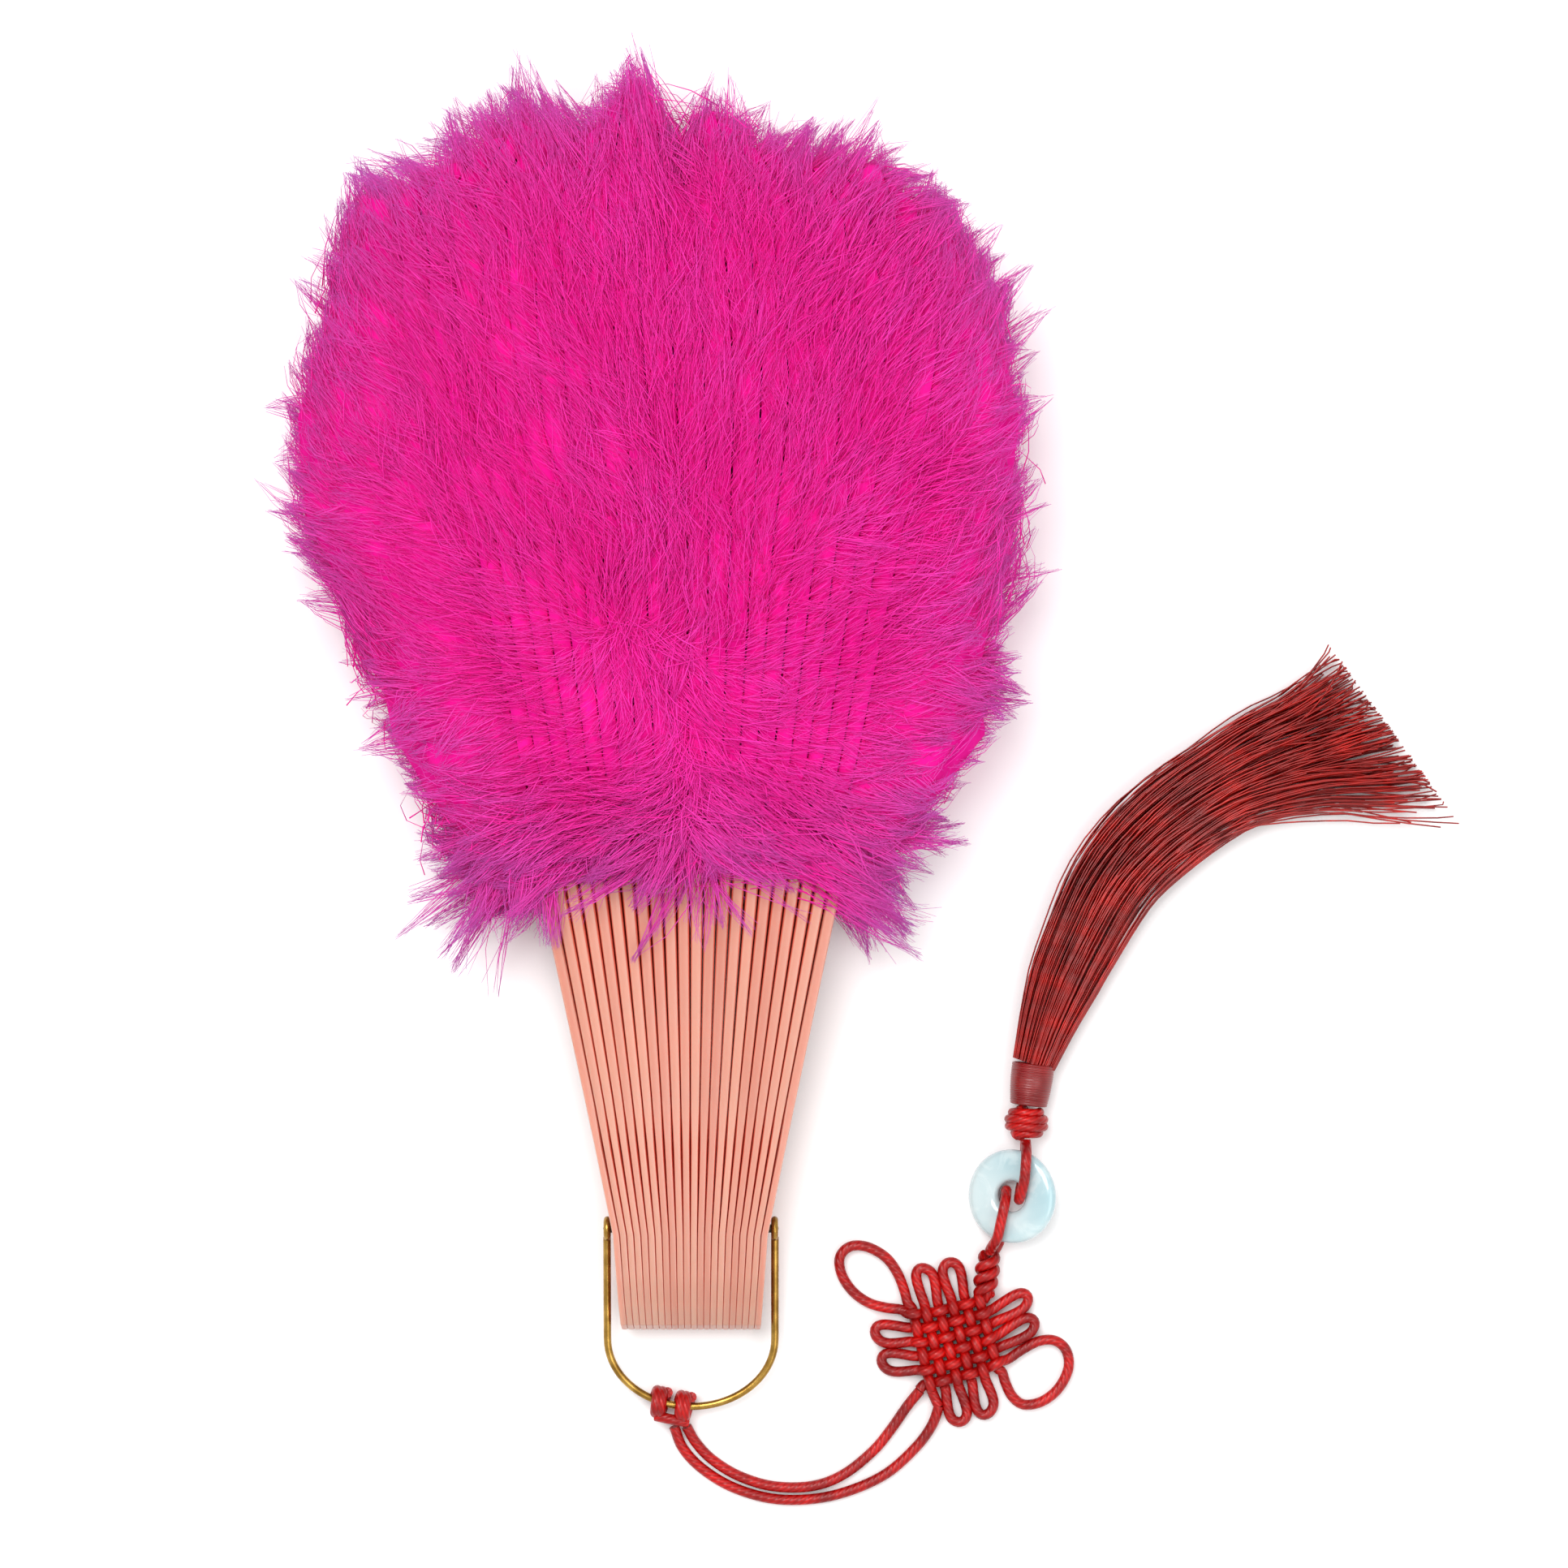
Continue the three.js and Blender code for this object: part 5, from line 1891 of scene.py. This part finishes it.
    def build_body(self, node: str, name: str, line: np.ndarray) -> Object:
        """Makes the soft body of a tuft.

        Args:
            node: The tuft's CAD node.
            name: Name of the new piece.
            line: The slat's line.

        Returns:
            The body.
        """
        piece = cad_copy(node, name, smooth=180.0)
        mesh = piece.data
        with edited(mesh) as shape:
            bmesh.ops.triangulate(shape, faces=shape.faces)
            long = [e for e in shape.edges if e.calc_length() > self.body_edge]
            bmesh.ops.subdivide_edges(shape, edges=long, cuts=1, use_grid_fill=False)
            bmesh.ops.triangulate(shape, faces=shape.faces)
        points = self.shrink(self.settle(mesh_points(mesh)), line, self.body_share)
        drawn = np.random.default_rng(SEED + 200 + int(node[-2:])).uniform(*self.ragged)
        low = np.clip(1 - (points[:, 1] - points[:, 1].min()) / self.ragged_depth, 0, 1)
        points[:, 1] += drawn * low
        points[:, 2] = line[2] + line[3] * points[:, 1] + (
            points[:, 2] - line[2] - line[3] * points[:, 1]) * (1 - self.ragged_thin * low)
        points[:, 1] = self.crest(points)
        points[:, 2] = np.maximum(points[:, 2], self.body_height)
        mesh.vertices.foreach_set("co", points.ravel())
        mesh.update()
        mesh.materials.append(Finishes.get(Finishes.down))
        return piece

    def sway(self, points: np.ndarray) -> np.ndarray:
        """Gives the slow swirl of the coat.

        Args:
            points: Points on the coat.

        Returns:
            A push for each point, about 1 long.
        """
        phases = points @ np.array(self.sway_waves).T
        x = 0.5 * np.sin(phases[:, 0]) + 0.35 * np.sin(phases[:, 2] + 1.3)
        y = 0.5 * np.cos(phases[:, 1] + 0.4) + 0.35 * np.sin(phases[:, 3])
        z = 0.3 * np.sin(phases[:, 1] + phases[:, 2])
        return np.stack([x, y, z], axis=1)

    def flow(self, off: np.ndarray, at: np.ndarray, normal: np.ndarray, within: np.ndarray,
             draw: np.random.Generator) -> np.ndarray:
        """Lays the coat outwards from its middle, partly along the surface.

        Args:
            off: Places of the barbs from the coat's middle.
            at: Places of the barbs.
            normal: Outward direction of the tuft at each.
            within: True where the barb lies between two tufts.
            draw: Source of the random spread.

        Returns:
            A unit direction for each barb.
        """
        count = len(at)
        spread = off * np.array(self.outward)
        vane = off * np.array(self.vane) + np.array((0, self.vane_rise, 0))
        flow = np.where(within[:, None], vane, spread)
        flow += self.sway_reach * self.sway(at) * np.where(within, 0.3, 1.0)[:, None]
        flow /= np.linalg.norm(flow, axis=1)[:, None] + 1e-9
        flat = np.clip(normal[:, 2], 0, 1)
        hug = draw.uniform(0.1 + 0.5 * flat, 0.95 + 0.05 * flat, count)[:, None]
        flow -= hug * np.maximum((flow * normal).sum(axis=1), 0)[:, None] * normal
        lift = draw.uniform(0.0, 0.2, count)
        flow += self.sway(at * 1.7 + 0.05) * 0.28 + normal * lift[:, None] + draw.normal(0, 0.08, (count, 3))
        return flow / np.linalg.norm(flow, axis=1)[:, None]

    def measure_rim(self) -> np.ndarray:
        """Measures how far the tufts reach in each sector round the coat's middle.

        Returns:
            The farthest reach in metres, one for each sector.
        """
        nodes = [f"feathers_{number:02d}" for number in range(1, len(stave_names()) + 1)]
        points = self.settle(np.concatenate([cad_points(node).reshape(-1, 3) for node in nodes]))
        corners = points.reshape(-1, 3, 3)
        spots = np.concatenate([points, corners.mean(axis=1), (corners[:, 0] + corners[:, 1]) / 2])
        off = spots[:, :2] - np.array(self.centre[:2])
        sector = self.sector(off)
        far = np.zeros(self.sectors)
        np.maximum.at(far, sector, np.hypot(off[:, 0], off[:, 1]))
        return far

    def sector(self, off: np.ndarray) -> np.ndarray:
        """Number of the sector that each point lies in."""
        turn = np.arctan2(off[:, 1], off[:, 0]) / (2 * np.pi) + 0.5
        return np.minimum((turn * self.sectors).astype(int), self.sectors - 1)

    def rim(self, off: np.ndarray) -> np.ndarray:
        """How near points are to the coat's edge as seen from above, from 0 to 1."""
        left = self.far[self.sector(off)] - np.hypot(off[:, 0], off[:, 1])
        return np.clip(1 - left / self.rim_depth, 0, 1)

    def overshoot(self, off: np.ndarray, at: np.ndarray, near: np.ndarray, edge: np.ndarray,
                  draw: np.random.Generator) -> np.ndarray:
        """Lets tips stand past the tuft in uneven peaks, wisps and a few strays.

        Args:
            off: Places of the barbs from the coat's middle.
            at: Places of the barbs.
            near: Clump of each barb.
            edge: How near each barb is to the coat's edge.
            draw: Source of the random spread.

        Returns:
            How far each tip goes on, in millimetres.
        """
        count = len(at)
        heading = np.arctan2(off[:, 1], off[:, 0])
        swell = sum(high * np.sin(waves * heading + turn) for high, waves, turn in self.swells)
        low = np.clip((self.wisp_start - at[:, 1]) / self.wisp_fade, 0, 1)
        wisp = draw.uniform(0, 1, near.max() + 1)[near] ** 3.5 * self.wisp_most
        more = (swell - 1) * edge + low * (wisp + draw.uniform(0, 2, count))
        stray = draw.uniform(size=count) < self.stray_share
        return more + stray * draw.uniform(1, 5, count)

    def roots(self, node: str, index: int, last: int, line: np.ndarray, coat: int) -> Mesh:
        """Scatters the root points of a tuft.

        Args:
            node: The tuft's CAD node.
            index: Place of the tuft from the left.
            last: Place of the last tuft.
            line: The slat's line.
            coat: Number of the coat on the tuft.

        Returns:
            A mesh of points with the way, bow, girth, tone and rim of each barb.
        """
        draw = np.random.default_rng(SEED + 10 + index + 40 * coat)
        guard = int(index in (0, last))
        count = self.guard_barbs if guard else self.inner_barbs
        corners = self.settle(cad_points(node).reshape(-1, 3)).reshape(-1, 3, 3)
        cross = np.cross(corners[:, 1] - corners[:, 0], corners[:, 2] - corners[:, 0])
        size = np.linalg.norm(cross, axis=1)
        normals = cross / np.maximum(size, 1e-12)[:, None]
        outward = -1 if index == 0 else 1
        sideways = np.abs(normals[:, 0]) > 0.6
        hidden = sideways & ~(bool(guard) & (normals[:, 0] * outward > 0))
        weight = size * np.where(hidden, 0.0, 1.0)
        middle = corners.mean(axis=1)
        weight *= 1 + self.fringe_more * (middle[:, 1] < self.fringe_start)
        weight *= np.where(normals[:, 2] < -0.5, self.under_share, 1.0)
        share = self.open_shares[guard]
        weight = share * weight / weight.sum() + (1 - share) * size * hidden / (size * hidden).sum()
        pick = draw.choice(len(corners), size=count, p=weight / weight.sum())
        a, b = draw.uniform(size=(2, count))
        fold = a + b > 1
        a[fold], b[fold] = 1 - a[fold], 1 - b[fold]
        tri = corners[pick]
        at = tri[:, 0] + a[:, None] * (tri[:, 1] - tri[:, 0]) + b[:, None] * (tri[:, 2] - tri[:, 0])
        normal = normals[pick]
        within = hidden[pick]
        off = at - np.array(self.centre)
        chosen = draw.choice(count, size=self.clumps * (2 if guard else 1), replace=False)
        near = np.linalg.norm(at[:, None, :] - at[None, chosen, :], axis=2).argmin(axis=1)
        flow = self.flow(off, at, normal, within, draw)
        yaw = draw.normal(0, self.clump_yaw, len(chosen))[near] + draw.normal(0, self.barb_yaw, count)
        cos, sin = np.cos(yaw), np.sin(yaw)
        flow[:, 0], flow[:, 1] = flow[:, 0] * cos - flow[:, 1] * sin, flow[:, 0] * sin + flow[:, 1] * cos
        length = draw.uniform(*self.lengths, count)
        facing = np.clip((flow * normal).sum(axis=1), 0, 1)
        tip = at + flow * (length * draw.uniform(*self.tip_reach, count) * (1 - 0.75 * facing))[:, None]
        tip -= normal * draw.uniform(0, self.tip_sink, count)[:, None]
        tip[:, 0] += draw.normal(0, self.side_jitter, count) * ~within
        edge = self.rim(off)
        tip += flow * (self.overshoot(off, at, near, edge, draw) * MM)[:, None]
        jut = np.minimum(draw.gamma(1.5, self.jut, len(chosen)), self.jut_most)[near] * (1 + 1.2 * edge)
        apart = np.linalg.norm(at - at[chosen][near], axis=1)
        pull = draw.uniform(*self.pulls, count)
        pull = pull + (draw.uniform(*self.edge_pulls, count) - pull) * edge
        pull = pull * np.exp(-(apart / self.clump_size) ** 2)
        tip += (tip[chosen][near] + flow[chosen][near] * jut[:, None] - tip) * pull[:, None]
        deep = length * draw.uniform(*self.root_depths, count)
        root = self.shrink(at, line, self.body_share) - flow * deep[:, None]
        root -= normal * draw.uniform(0, self.root_sink, count)[:, None]
        root[:, 0] += draw.normal(0, self.root_jitter, count) * ~within
        root[:, 1], tip[:, 1] = self.crest(root), self.crest(tip)
        tip[:, 2] = np.maximum(tip[:, 2], draw.uniform(*self.tip_heights, count))
        reach = tip - root
        bow = normal * (draw.uniform(*self.bows, count) * length)[:, None]
        bow += draw.normal(0, self.bow_jitter, (count, 3)) * length[:, None]
        patch = 0.5 + 0.5 * self.sway(at * self.patch_waves)[:, 0]
        tone = np.clip(0.25 + 0.5 * patch + draw.normal(0, self.tone_spread, count), 0, 1)
        # Painted light: the rim value turns the outer tips lilac, for light through the thin fringe.
        (middle_x, middle_y), (half_x, half_y) = self.crown
        far = np.hypot((at[:, 0] - middle_x) / half_x, (at[:, 1] - middle_y) / half_y)
        outer = np.clip((far - 0.6) / 0.42, 0, 1)
        rim = np.clip(0.5 * edge + 0.5 * outer, 0, 1) ** 1.1 * draw.uniform(*self.rim_spread, count)
        mesh = bpy.data.meshes.new(f"roots_{index + 1:02d}_{coat}")
        mesh.from_pydata([tuple(p) for p in root], [], [])
        fill_vectors(mesh, "reach", reach)
        fill_vectors(mesh, "bow", bow)
        girth = draw.uniform(*self.barb_girths, count)
        for label, values in (("girth", girth), ("tone", tone), ("rim", rim)):
            fill_attribute(mesh, label, values)
        return mesh

    def build(self) -> None:
        """Makes the tuft of every slat."""
        self.tree = barb_tree()
        self.far = self.measure_rim()
        staves = stave_names()
        for index, (stave, body) in enumerate(staves):
            node = f"feathers_{index + 1:02d}"
            line = slat_line(stave)
            soft = self.build_body(node, f"down_{index + 1:02d}", line)
            place_piece(soft, body, [node])
            outer = index in (0, len(staves) - 1)
            for coat, name in enumerate(("barbs", "outer_barbs")[:self.guard_coats if outer else 1]):
                roots = self.roots(node, index, len(staves) - 1, line, coat)
                barbs = grow(f"{name}_{index + 1:02d}", roots, self.tree,
                             {"Barb Radius": self.barb_radius, "Material": Finishes.get(Finishes.barb)},
                             drop=("shape", "reach", "bow", "girth"))
                place_piece(barbs, body)


def main() -> None:
    """Builds the fan in order: camera, cords, metal, stone, tassel, slats, feathers."""
    logging.basicConfig(level=logging.INFO, format="%(message)s")
    bpy.context.scene.view_settings.view_transform = "Standard"
    studio = Studio()
    studio.set_camera()
    PendantCord().build()
    WireBail().build()
    StoneRing().build()
    Tassel().build()
    SlatPack().build()
    FeatherTufts().build()
    studio.set_lamps()
    studio.set_floor()


if __name__ == "__main__":
    main()
